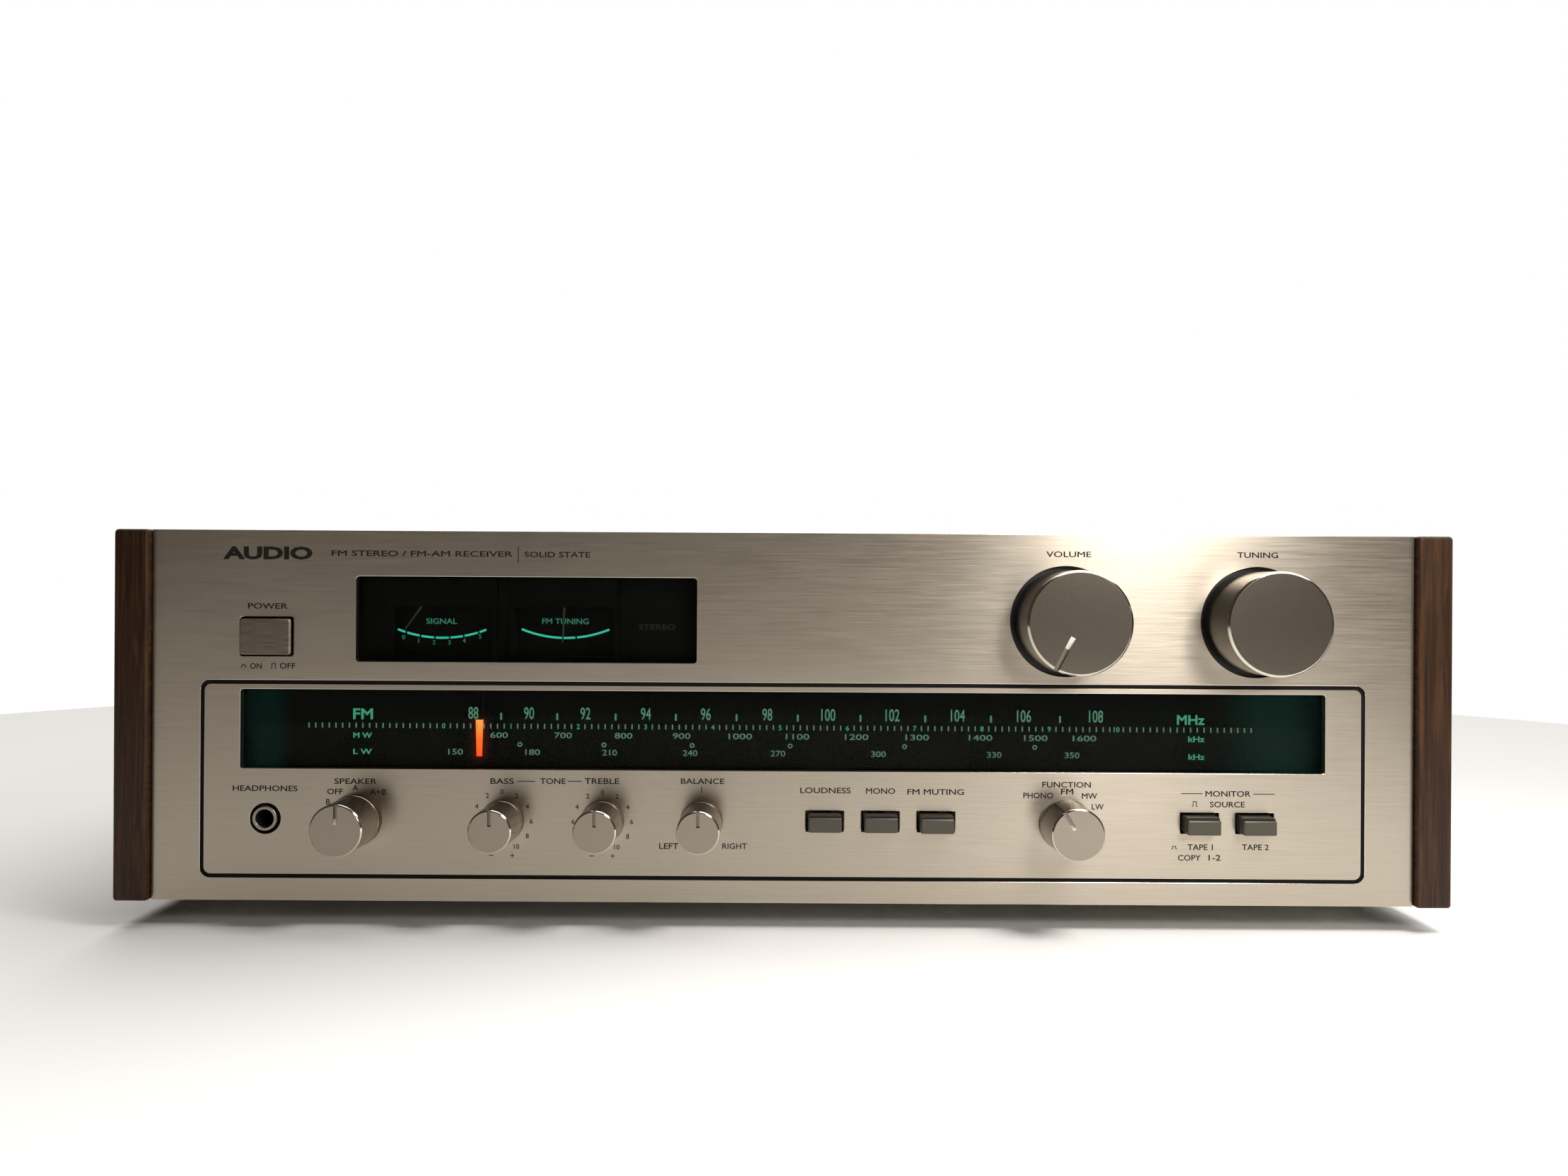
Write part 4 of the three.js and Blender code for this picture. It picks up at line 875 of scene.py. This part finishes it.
def panel_lettering():
    """Generic names of the controls. Places are from the panel's centre, with each word's width."""
    words = [
        ("VOLUME", 103.9, 60.3, 16.4), ("TUNING", 172.8, 60.4, 14.9), ("POWER", -188.0, 39.8, 14.5),
        ("ON", -192.2, 17.9, 4.3), ("OFF", -180.7, 18.0, 5.7), ("HEADPHONES", -188.6, -26.7, 23.6),
        ("SPEAKER", -155.6, -23.95, 15.5), ("OFF", -163.1, -27.7, 5.7), ("A", -155.7, -26.3, None),
        ("A+B", -147.4, -27.8, 6.2), ("B", -165.6, -31.5, None), ("BASS", -102.2, -23.6, 8.5),
        ("TONE", -83.7, -23.5, 9.3), ("TREBLE", -65.8, -23.4, 12.7), ("BALANCE", -29.1, -23.2, 15.9),
        ("LEFT", -41.3, -46.9, 7.0), ("RIGHT", -17.3, -46.8, 9.0), ("LOUDNESS", 15.7, -26.3, 18.4),
        ("MONO", 35.8, -26.4, 10.6), ("FM MUTING", 55.9, -26.6, 20.7), ("FUNCTION", 103.6, -23.7, 17.7),
        ("PHONO", 93.3, -27.7, 10.9), ("FM", 103.8, -26.2, 4.5), ("MW", 112.0, -27.8, 5.6),
        ("LW", 115.0, -31.7, 4.4), ("MONITOR", 162.5, -26.7, 16.5), ("SOURCE", 162.25, -30.6, 12.7),
        ("TAPE 1", 152.45, -46.2, 9.2), ("TAPE 2", 172.55, -46.1, 9.8), ("COPY", 148.5, -50.1, 8.3),
        ("1-2", 157.7, -50.0, 4.4), ("FM STEREO / FM-AM RECEIVER", -131.85, 59.2, 66),
        ("SOLID STATE", -82.5, 59.1, 24),
    ]
    near, far = FRONT - 0.04, FRONT + 0.05
    bm = bmesh.new()
    for text, x, z, width in words:
        write(bm, text, x, MIDDLE + z, width, 2.1, near, far, weight=PANEL_WEIGHT)
    write(bm, "AUDIO", -188.1, MIDDLE + 59.1, 32.6, 4.8, near, far, weight=TITLE_WEIGHT)
    for x, z, width in ((-93.4, -23.6, 6.5), (-75.7, -23.5, 5.2), (149.3, -26.7, 7.8), (175.5, -26.7, 7.8)):
        line_across(bm, x, MIDDLE + z, width, INK_STROKE, near, far)
    line_across(bm, -96.8, MIDDLE + 59, 0.3, 6, near, far)
    line_across(bm, -29.45, MIDDLE - 26.4, 0.3, 2.2, near, far)
    for knob in ("bass_knob", "treble_knob"):
        tone_scale(bm, middle(knob).x, near, far)
    symbols = ((-196.7, 17.9, 2.1, 1.1), (-185.75, 18.0, 2.2, 2.0), (150.35, -30.4, 2.1, 1.9),
               (142.95, -46.4, 2.1, 1.1))
    for x, z, width, height in symbols:
        press_symbol(bm, x, MIDDLE + z, width, height, near, far)
    put(bm, "panel_lettering", body_of("front_panel"), ["ink"])


def tone_scale(bm, x, near, far):
    """0 at the top and the even numbers to 10 on both sides, with a plus and a minus at the ends."""
    def around(radius, degrees):
        angle = math.radians(degrees)
        return x + radius * math.sin(angle), SMALL_ROW + radius * math.cos(angle)

    numbers, signs, arm = 10.7, 13.1, 1.6
    for side in (-1, 1):
        for step in range(0 if side == 1 else 1, 6):
            write(bm, str(2 * step), *around(numbers, 30 * step * side), None, 1.8, near, far,
                  weight=PANEL_WEIGHT)
        place = around(signs, 163 * side)
        line_across(bm, *place, arm, INK_STROKE, near, far)
        if side == 1:
            line_across(bm, *place, INK_STROKE, arm, near, far)


def press_symbol(bm, x, z, width, height, near, far):
    """The outline of a pushed-in (low) or released (high) button: a step between two short wings."""
    stroke = 0.26
    half, step = width / 2, width * 0.28
    low, high = z - height / 2, z + height / 2
    block(bm, (x - half, x - step), (near, far), (low, low + stroke))
    block(bm, (x + step, x + half), (near, far), (low, low + stroke))
    block(bm, (x - step - stroke / 2, x - step + stroke / 2), (near, far), (low, high))
    block(bm, (x + step - stroke / 2, x + step + stroke / 2), (near, far), (low, high))
    block(bm, (x - step, x + step), (near, far), (high - stroke, high))


# ------------------------------------------------------------------ dial

# Where the dial's numbers stand, from the panel's centre: by MHz, and by kHz on the two lower bands. Dots
# stand between those of the lowest band.
FM_MARKS = {88: -114.15, 90: -93.6, 92: -72.8, 94: -50.5, 96: -28.4, 98: -5.7, 100: 16.8, 102: 40.5,
            104: 64.6, 106: 89.0, 108: 115.55}
MW_MARKS = {600: -104.6, 700: -81.0, 800: -58.7, 900: -37.3, 1000: -15.6, 1100: 5.5, 1200: 27.3,
            1300: 49.65, 1400: 73.0, 1500: 93.4, 1600: 111.35}
LW_MARKS = {150: -120.6, 180: -92.2, 210: -63.8, 240: -34.1, 270: -1.7, 300: 35.4, 330: 78.1, 350: 106.8}
LW_DOTS = (-96.9, -65.9, -33.4, 2.8, 45.0, 93.0)


def dial_legends():
    """The lit scales, printed on the back of the dial window."""
    near, far = GLASS_BACK + 0.02, GLASS_BACK + 0.12
    bm = bmesh.new()
    for value, x in FM_MARKS.items():
        width = 3.7 if value < 100 else 5.2
        write(bm, str(value), x, MIDDLE + 0.65, width, 4.5, near, far, 0, weight=NUMBER_WEIGHT)
    places = list(FM_MARKS.values())
    for left, right in zip(places, places[1:]):
        line_across(bm, (left + right) / 2, MIDDLE - 0.55, 0.64, 2.5, near, far)
    for marks, z, width in ((MW_MARKS, -7.45, 6.5), (LW_MARKS, -13.7, 5.4)):
        for value, x in marks.items():
            number = str(value)
            write(bm, number, x, MIDDLE + z, width * len(number) / 3, 2.15, near, far, 3,
                  weight=NUMBER_WEIGHT)
    for x in LW_DOTS:
        strip(bm, x, MIDDLE - 10.87, 0.68, 0, 358, 0.42, near, far, 3)
    names = (("FM", -154.8, 0.1, 7.3, 4.0), ("MHz", 150.5, -0.4, 10.2, 3.6),
             ("M W", -154.9, -7.8, 6.9, 2.0), ("L W", -154.9, -13.8, 6.9, 2.0),
             ("kHz", 152.6, -7.5, 6.0, 2.1), ("kHz", 152.7, -14.05, 6.0, 2.1))
    for text, x, z, width, height in names:
        write(bm, text, x, MIDDLE + z, width, height, near, far, 1, weight=BAND_WEIGHT)
    logging_scale(bm, near, far)
    put(bm, "dial_legends", body_of("dial_window"), ["legend", "legend_band", "legend_dim", "legend_pale"])


def logging_scale(bm, near, far):
    """Plain 0 to 10 scale with ten ticks a unit, going on for twenty ticks past each end."""
    start, end, z = -125.06, 123.15, MIDDLE - 4.15
    pitch = (end - start) / 100
    for tick in range(-20, 121):
        x = start + pitch * tick
        if tick % 10 == 0 and 0 <= tick <= 100:
            write(bm, str(tick // 10), x, z, None, 1.9, near, far, 1, weight=LOGGING_WEIGHT)
        else:
            line_across(bm, x, z, 0.44, 1.8, near, far, 2)


def dial_pointer():
    """Black carriage on the rail, with an orange lit blade that tapers downwards in a dim halo."""
    x, front = POINTER_X, extent("dial_pointer")[0].y
    rail = middle("pointer_rail")
    bore, sleeve, half_length = 1.5, 2.4, 5
    bm = bmesh.new()
    turned(bm, [(bore, x - half_length), (sleeve, x - half_length), (sleeve, x + half_length),
                (bore, x + half_length), (bore, x - half_length)], 0, 0, 32)
    bm.transform(Matrix.Translation((0, rail.y, rail.z)) @ Matrix.Rotation(math.radians(-90), 4, "Z"))
    block(bm, (x - 1.2, x + 1.2), (front + 0.05, front + 0.75), (POINTER_TOP, rail.z - 1.6), 0)
    halo = rounded_rectangle(x, (POINTER_TOP + POINTER_FOOT) / 2, 9.4, POINTER_TOP - POINTER_FOOT + 7, 4)
    prism(bm, halo, front + 0.45, front + 0.7, 1)
    core = [(x - 1.0, POINTER_FOOT), (x + 1.0, POINTER_FOOT),
            (x + 1.35, POINTER_TOP), (x - 1.35, POINTER_TOP)]
    prism(bm, core, front, front + 0.3, 2)
    put(bm, "lit_dial_pointer", body_of("dial_pointer"), ["meter_face", "pointer_halo", "pointer_light"],
        ["dial_pointer"])


def windows():
    """Smoked windows with softened edges behind the panel's two openings."""
    for node, opening in (("dial_window", DIAL_OPENING), ("meter_window", METER_OPENING)):
        low, high = extent(node)
        x, z, width, height, _ = opening
        outline = rounded_rectangle(x, z, width + WINDOW_LAP, height + WINDOW_LAP, 1.5)
        put(plate([outline], low.y, high.y, 0.15), node + "_glass", body_of(node), ["window"],
            [node])


# ------------------------------------------------------------------ meters

METER_FACE = -131.5


def meter_scales():
    """The lit scales of both meters, on their faces behind the needles."""
    near, far = METER_FACE - 0.15, METER_FACE + 0.1
    bm = bmesh.new()
    numbers = ((-141.4, 28.5), (-135.8, 27.2), (-130.1, 26.6), (-124.4, 26.6), (-118.9, 27.3), (-113.0, 28.9))
    for value, (x, z) in enumerate(numbers):
        write(bm, str(value), x, MIDDLE + z - 0.2, None, 1.65, near, far, 1)
    breaks = (-140.4, -135.1, -129.8, -124.3, -119.1, -113.5)
    broken_arc(bm, -127.1, MIDDLE + 73.0, 44.9, 16.4, breaks, 0.7, near, far)
    broken_arc(bm, -81.25, MIDDLE + 71.2, 42.9, 16.25, (-82.3, -77.3), 0.7, near, far)
    write(bm, "SIGNAL", -127.25, MIDDLE + 34.3, 11.4, 2.1, near, far, 1, weight=METER_WEIGHT)
    write(bm, "FM TUNING", -81.3, MIDDLE + 34.5, 17.2, 2.1, near, far, 1, weight=METER_WEIGHT)
    put(bm, "meter_scales", body_of("signal_meter"), ["meter_arc", "meter_figure"])
    x, z, width, height, _ = METER_OPENING
    meters = [extent("signal_meter"), extent("tuning_meter")]
    holes = [rounded_rectangle((a.x + b.x) / 2, (a.z + b.z) / 2, b.x - a.x + 0.6, b.z - a.z + 0.6)
             for a, b in meters]
    top = max(b.z for _, b in meters) + 2
    outline = rounded_rectangle(x, (top + z - height / 2 - 2) / 2, width + 4, top - z + height / 2 + 2)
    mask = plate([outline, *holes], meters[0][0].y + 1.0, meters[0][0].y + 1.5, 0.05)
    put(mask, "meter_surround", body_of("signal_meter"), ["meter_face"])
    bm = bmesh.new()
    write(bm, "STEREO", -46.6, MIDDLE + 32.75, 13.3, 2.1, GLASS_BACK + 0.02, GLASS_BACK + 0.1,
          weight=METER_WEIGHT)
    # The STEREO legend carries a faint painted glow.
    put(bm, "stereo_legend", body_of("meter_window"), ["stereo_print_glow"])


def broken_arc(bm, x, z, radius, half_chord, breaks, gap, near, far):
    """The bottom of a circle about (x, z), left out for gap mm round each of the breaks."""
    def angle(place):
        return math.degrees(math.asin((place - x) / radius))

    starts = [x - half_chord, *[b + gap / 2 for b in breaks]]
    ends = [*[b - gap / 2 for b in breaks], x + half_chord]
    for start, end in zip(starts, ends):
        strip(bm, x, z, radius, angle(start), angle(end), 0.75, near, far, 0)


# ------------------------------------------------------------------ case

def cheeks():
    """Walnut boards with slightly rounded edges; their front edges show upright grain."""
    for node in ("cheek_left", "cheek_right"):
        low, high = extent(node)
        y = (low.y + high.y) / 2
        outline = rounded_rectangle(y, (low.z + high.z) / 2, high.y - low.y, high.z - low.z, 1.5, 4)
        bm = bmesh.new()
        loft(bm, [[(x, a, b) for a, b in outline] for x in (low.x, high.x)], [0])
        for side in bm.faces:
            if abs(side.calc_center_median().y - y) > (high.y - low.y) / 2 - 2:
                side.material_index = 1
        piece = put(bm, node + "_board", body_of(node), ["walnut_side", "walnut_edge", "walnut_edge_highlight"],
                    [node])
        soften(piece, 0.9, 3)
        # The rounding takes the lighter walnut: a painted highlight on the edges.
        piece.modifiers["bevel"].material = 2


def screw_head(bm, place, facing):
    """A pan head with a cross recess. It faces -Y, +Y, -Z or +Z, and its seat is at place."""
    radius, arm, stroke = 2.6, 1.43, 0.35
    head = bmesh.new()
    profile = [(0, -1.5), (arm, -1.5), (radius, -0.5), (radius, 0), (0, 0)]
    turned(head, rounded(profile, 0.3, 4), 0, 0, 32)
    for across, up in ((stroke, arm), (arm, stroke)):
        slit = bmesh.new()
        block(slit, (-across, across), (-2, -0.75), (-up, up))
        head = carve(head, slit)
    turn = Vector((0, -1, 0)).rotation_difference(Vector(facing)).to_matrix().to_4x4()
    head.transform(Matrix.Translation(place) @ turn)
    merge(bm, head, 0)


def screws():
    cover_top, plate_foot = extent("top_cover")[1].z, extent("bottom_plate")[0].z
    bm = bmesh.new()
    for x in (-222, -120, 40, 222):
        for z in (18, 134):
            screw_head(bm, (x, REAR_FACE, z), (0, 1, 0))
    for x in (-221, 0, 221):
        for y in (-126, 132):
            screw_head(bm, (x, y, cover_top), (0, 0, 1))
    for x in (-215, 0, 215):
        for y in (-120, 130):
            screw_head(bm, (x, y, plate_foot), (0, 0, -1))
    put(bm, "case_screws", body_of("rear_panel"), ["screw"])


def feet():
    """Rubber feet with a waisted side and a recess round the screw."""
    for node in frame["nodes"]:
        if not node.startswith("foot_"):
            continue
        low, high = extent(node)
        radius = (high.x - low.x) / 2
        x, y = (low.x + high.x) / 2, (low.y + high.y) / 2
        base = rounded([(0, 4), (4.5, 4), (4.5, low.z), (radius - 1.2, low.z), (radius - 0.4, high.z - 1.5),
                        (radius, high.z - 1.0), (radius, high.z), (0, high.z)], 0.7)
        bm = bmesh.new()
        turned(bm, base, x, y, 56, axis="Z")
        put(bm, node + "_rubber", body_of(node), ["rubber"], [node])


# ------------------------------------------------------------------ rear fittings

def socket_base(node, thickness):
    """The plate that rear sockets stand on, with a block behind it: the bmesh and the y of its face."""
    low, high = extent(node)
    face = REAR_FACE + (thickness + 0.3)
    bm = bmesh.new()
    outline = rounded_rectangle(*middle(node).xz, high.x - low.x, high.z - low.z, 1.2)
    merge(bm, plate([outline], face - thickness, face, 0.25), 0)
    block(bm, (low.x + 4, high.x - 4), (low.y, face - 1), (low.z + 4, high.z - 4), 0)
    return bm, face


PHONO_PITCH = 18.5


def phono_jacks():
    """Ten plated jacks with coloured insulators on a phenolic plate: the upper row white, the lower red."""
    node = "phono_jack_block"
    x, z = middle(node).xz
    bm, face = socket_base(node, 2)
    end = extent(node)[1].y
    bore, shell_radius, nut = 1.6, 4.15, 4.9
    shell = rounded([(bore, face + 1), (3.3, face + 1), (3.3, end - 0.4), (3.6, end),
                     (shell_radius, end - 0.5), (shell_radius, face + 2.2), (nut, face + 2.0), (nut, face),
                     (bore, face), (bore, face + 1)], 0.15)
    shell[-1] = shell[0]
    core = [(bore, face + 1), (3.25, face + 1), (3.25, end - 1.1), (bore, end - 1.1), (bore, face + 1)]
    for column in range(-2, 3):
        for row, slot in ((-7.5, 2), (7.5, 3)):
            at = (x + column * PHONO_PITCH, z + row)
            turned(bm, shell, *at, 40, all_in(1))
            turned(bm, core, *at, 32, all_in(slot))
    put(bm, "phono_sockets", body_of(node), ["board", "nickel", "red_plastic", "white_plastic"],
        [node])


def speaker_sockets():
    """Four round sockets with a flat and a round hole each."""
    node = "speaker_socket_block"
    x, z = middle(node).xz
    bm, face = socket_base(node, 2)
    end = extent(node)[1].y
    rim = rounded([(0, face - 1), (7.5, face - 1), (7.5, end - 0.6), (6.9, end), (5.9, end),
                   (5.7, end - 0.8), (0, end - 0.8)], 0.25)
    for across in (x - 14, x + 14):
        for up in (z - 9.5, z + 9.5):
            boss = bmesh.new()
            turned(boss, rim, across, up, 48)
            slit = bmesh.new()
            block(slit, (across - 1, across + 1), (face - 0.5, end + 1), (up - 3.5, up + 0.5), 1)
            boss = carve(boss, slit)
            hole = bmesh.new()
            prism(hole, circle(across, up + 3, 1.2, 24), face - 0.5, end + 1, 1)
            merge(bm, carve(boss, hole))
    put(bm, "speaker_sockets", body_of(node), ["black_plastic", "steel"], [node])


def aerial_terminals():
    """Four knurled terminal screws on a black strip."""
    node = "aerial_terminals"
    x, z = middle(node).xz
    bm, face = socket_base(node, 4)
    end = extent(node)[1].y
    ribs, crest, groove = 24, 4.2, 3.85
    cap = rounded([(0, end - 0.4), (3.8, end - 0.4), (3.6, end - 0.05), (0, end)], 0.2)
    stem = [(0, face - 0.5), (2, face - 0.5), (2, face + 2.2), (0, face + 2.2)]
    for across in (x - 25.5, x - 8.5, x + 8.5, x + 25.5):
        outline = []
        for i in range(ribs * 2):
            radius = crest if i % 2 else groove
            angle = math.pi * i / ribs
            outline.append((across + radius * math.cos(angle), z + radius * math.sin(angle)))
        prism(bm, outline, face + 2, end - 0.4, 1)
        turned(bm, cap, across, z, 48, all_in(1))
        turned(bm, stem, across, z, 24, all_in(1))
    put(bm, "aerial_terminal_strip", body_of(node), ["black_plastic", "nickel"], [node])


def mains_gland():
    """The empty rubber bushing of the mains lead."""
    low, high = extent("mains_gland")
    bore, neck, flange = 3.5, 6, (high.x - low.x) / 2
    profile = rounded([(bore, low.y), (neck, low.y), (neck, REAR_FACE + 0.3), (flange, REAR_FACE + 0.3),
                       (flange, high.y - 1), (flange - 1.6, high.y), (bore + 0.8, high.y),
                       (bore, high.y - 0.8), (bore, low.y)], 0.4)
    profile[-1] = profile[0]
    bm = bmesh.new()
    turned(bm, profile, *middle("mains_gland").xz, 64)
    put(bm, "mains_bushing", body_of("mains_gland"), ["rubber"], ["mains_gland"])


def rear_lettering():
    """Generic names of the sockets, as seen from behind."""
    near, far = REAR_FACE + 0.05, REAR_FACE - 0.04
    bm = bmesh.new()
    columns = ["PHONO", "AUX", "TAPE 1", "TAPE 2", "OUTPUT"]
    words = [(text, -155 + (number - 2) * PHONO_PITCH, 66, 2.4)
             for number, text in enumerate(reversed(columns))]
    words += [("SPEAKERS A", 134, 72, 2.4), ("SPEAKERS B", 106, 72, 2.4), ("LEFT", 158, 56.5, 2.4),
              ("RIGHT", 159, 37.5, 2.4), ("FM AERIAL", -153, 112.5, 2.4), ("AM", -187, 112.5, 2.4),
              ("EARTH", -195.5, 84.5, 2.2), ("MAINS", 205, 44, 2.4), ("L", -98, 52.5, 2.4),
              ("R", -98, 37.5, 2.4)]
    for text, x, z, height in words:
        write(bm, text, x, z, None, height, near, far, 0, REAR_WEIGHT, -1)
    put(bm, "rear_lettering", body_of("rear_panel"), ["white_ink"])


# ------------------------------------------------------------------ finishes of the carried-over CAD nodes

CAD_FINISHES = {
    "steel": ["bottom_plate", "side_frame_left", "side_frame_right", "control_subchassis", "volume_shaft",
              "volume_control", "pointer_rail", "tuning_capacitor_frame"],
    "black_paint": ["top_cover", "rear_panel", "heat_sink"],
    "black_plastic": ["knob_recess_plate", "power_switch", "dial_drum", "aerial_bracket"],
    "meter_face": ["signal_meter", "tuning_meter"],
    # The backplate gets the painted lamp glow.
    "backplate_painted_glow": ["dial_backplate"],
    "needle": ["signal_needle", "tuning_needle"],
    "brass": ["tuning_flywheel", "tuning_capacitor_rotor"],
    "board": ["main_board", "tone_control_board", "speaker_switch", "function_switch", "button_bank_left",
              "button_bank_right"],
    "core": ["power_transformer"],
    "sleeve": ["filter_capacitor_1", "filter_capacitor_2"],
    "ferrite": ["ferrite_aerial"],
}


def finish_cad_nodes():
    """The CAD nodes that stay visible get a finish and slightly rounded edges."""
    for material, nodes in CAD_FINISHES.items():
        for name in nodes:
            node = frame["nodes"][name]
            node.data.materials.clear()
            node.data.materials.append(MATERIALS[material])
            weld = node.modifiers.new("weld", "WELD")
            weld.merge_threshold = 0.01 * MM
            soften(node, 0.2 if name not in ("ferrite_aerial", "heat_sink") else 0.6)


# ------------------------------------------------------------------ floor, lights and world

FLOOR_RADIUS = 900


def floor():
    bm = bmesh.new()
    bmesh.ops.create_circle(bm, cap_ends=True, segments=96, radius=FLOOR_RADIUS * MM)
    mesh = bpy.data.meshes.new("floor")
    bm.to_mesh(mesh)
    bm.free()
    mesh.materials.append(finish("pale_floor", (0.9, 0.9, 0.89), 0.0, 0.7, [
        layer(0.002, tint=0.01)]))
    add_object("floor", mesh)


def area_light(name, place, target, size, watts):
    """A soft box of slightly warm light. Place and target are in mm."""
    data = bpy.data.lights.new(name, "AREA")
    data.shape = "RECTANGLE"
    data.size, data.size_y = size[0] * MM, size[1] * MM
    data.energy = watts
    data.color = (1, 0.98, 0.95)
    light = add_object(name, data)
    light.location = Vector(place) * MM
    light.rotation_euler = (Vector(target) - Vector(place)).to_track_quat("-Z", "Y").to_euler()


def lights():
    sun = bpy.data.lights.new("overhead", "SUN")
    sun.energy = 3.0
    sun.angle = math.radians(80)
    sun.color = (1, 0.985, 0.96)
    add_object("overhead", sun).rotation_euler = (math.radians(-25), math.radians(12), 0)
    area_light("key", (245, -490, 255), (70, FRONT, 75), (135, 95), 0.62)
    area_light("table", (240, -330, 420), (250, -330, 0), (150, 160), 2.0)


def world():
    """White behind the object; a dim warm grey lights it."""
    made = bpy.data.worlds.new("studio")
    bpy.context.scene.world = made
    made.use_nodes = True
    nodes, links = made.node_tree.nodes, made.node_tree.links
    background = nodes["Background"]
    path = nodes.new("ShaderNodeLightPath")
    mix = nodes.new("ShaderNodeMix")
    mix.data_type = "RGBA"
    links.new(path.outputs["Is Camera Ray"], mix.inputs["Factor"])
    colors = [socket for socket in mix.inputs if socket.type == "RGBA"]
    colors[0].default_value = (0.058, 0.047, 0.036, 1)
    colors[1].default_value = (1, 1, 1, 1)
    links.new([socket for socket in mix.outputs if socket.type == "RGBA"][0], background.inputs["Color"])


# ------------------------------------------------------------------ everything

front_panel()
panel_lettering()
button_gaskets()
knobs()
for button in PUSH_BUTTONS:
    push_button(button)
power_button()
headphone_jack()
windows()
dial_legends()
dial_pointer()
meter_scales()
cheeks()
screws()
feet()
phono_jacks()
speaker_sockets()
aerial_terminals()
mains_gland()
rear_lettering()
finish_cad_nodes()
floor()
lights()
world()
bpy.context.scene.view_settings.view_transform = "Standard"
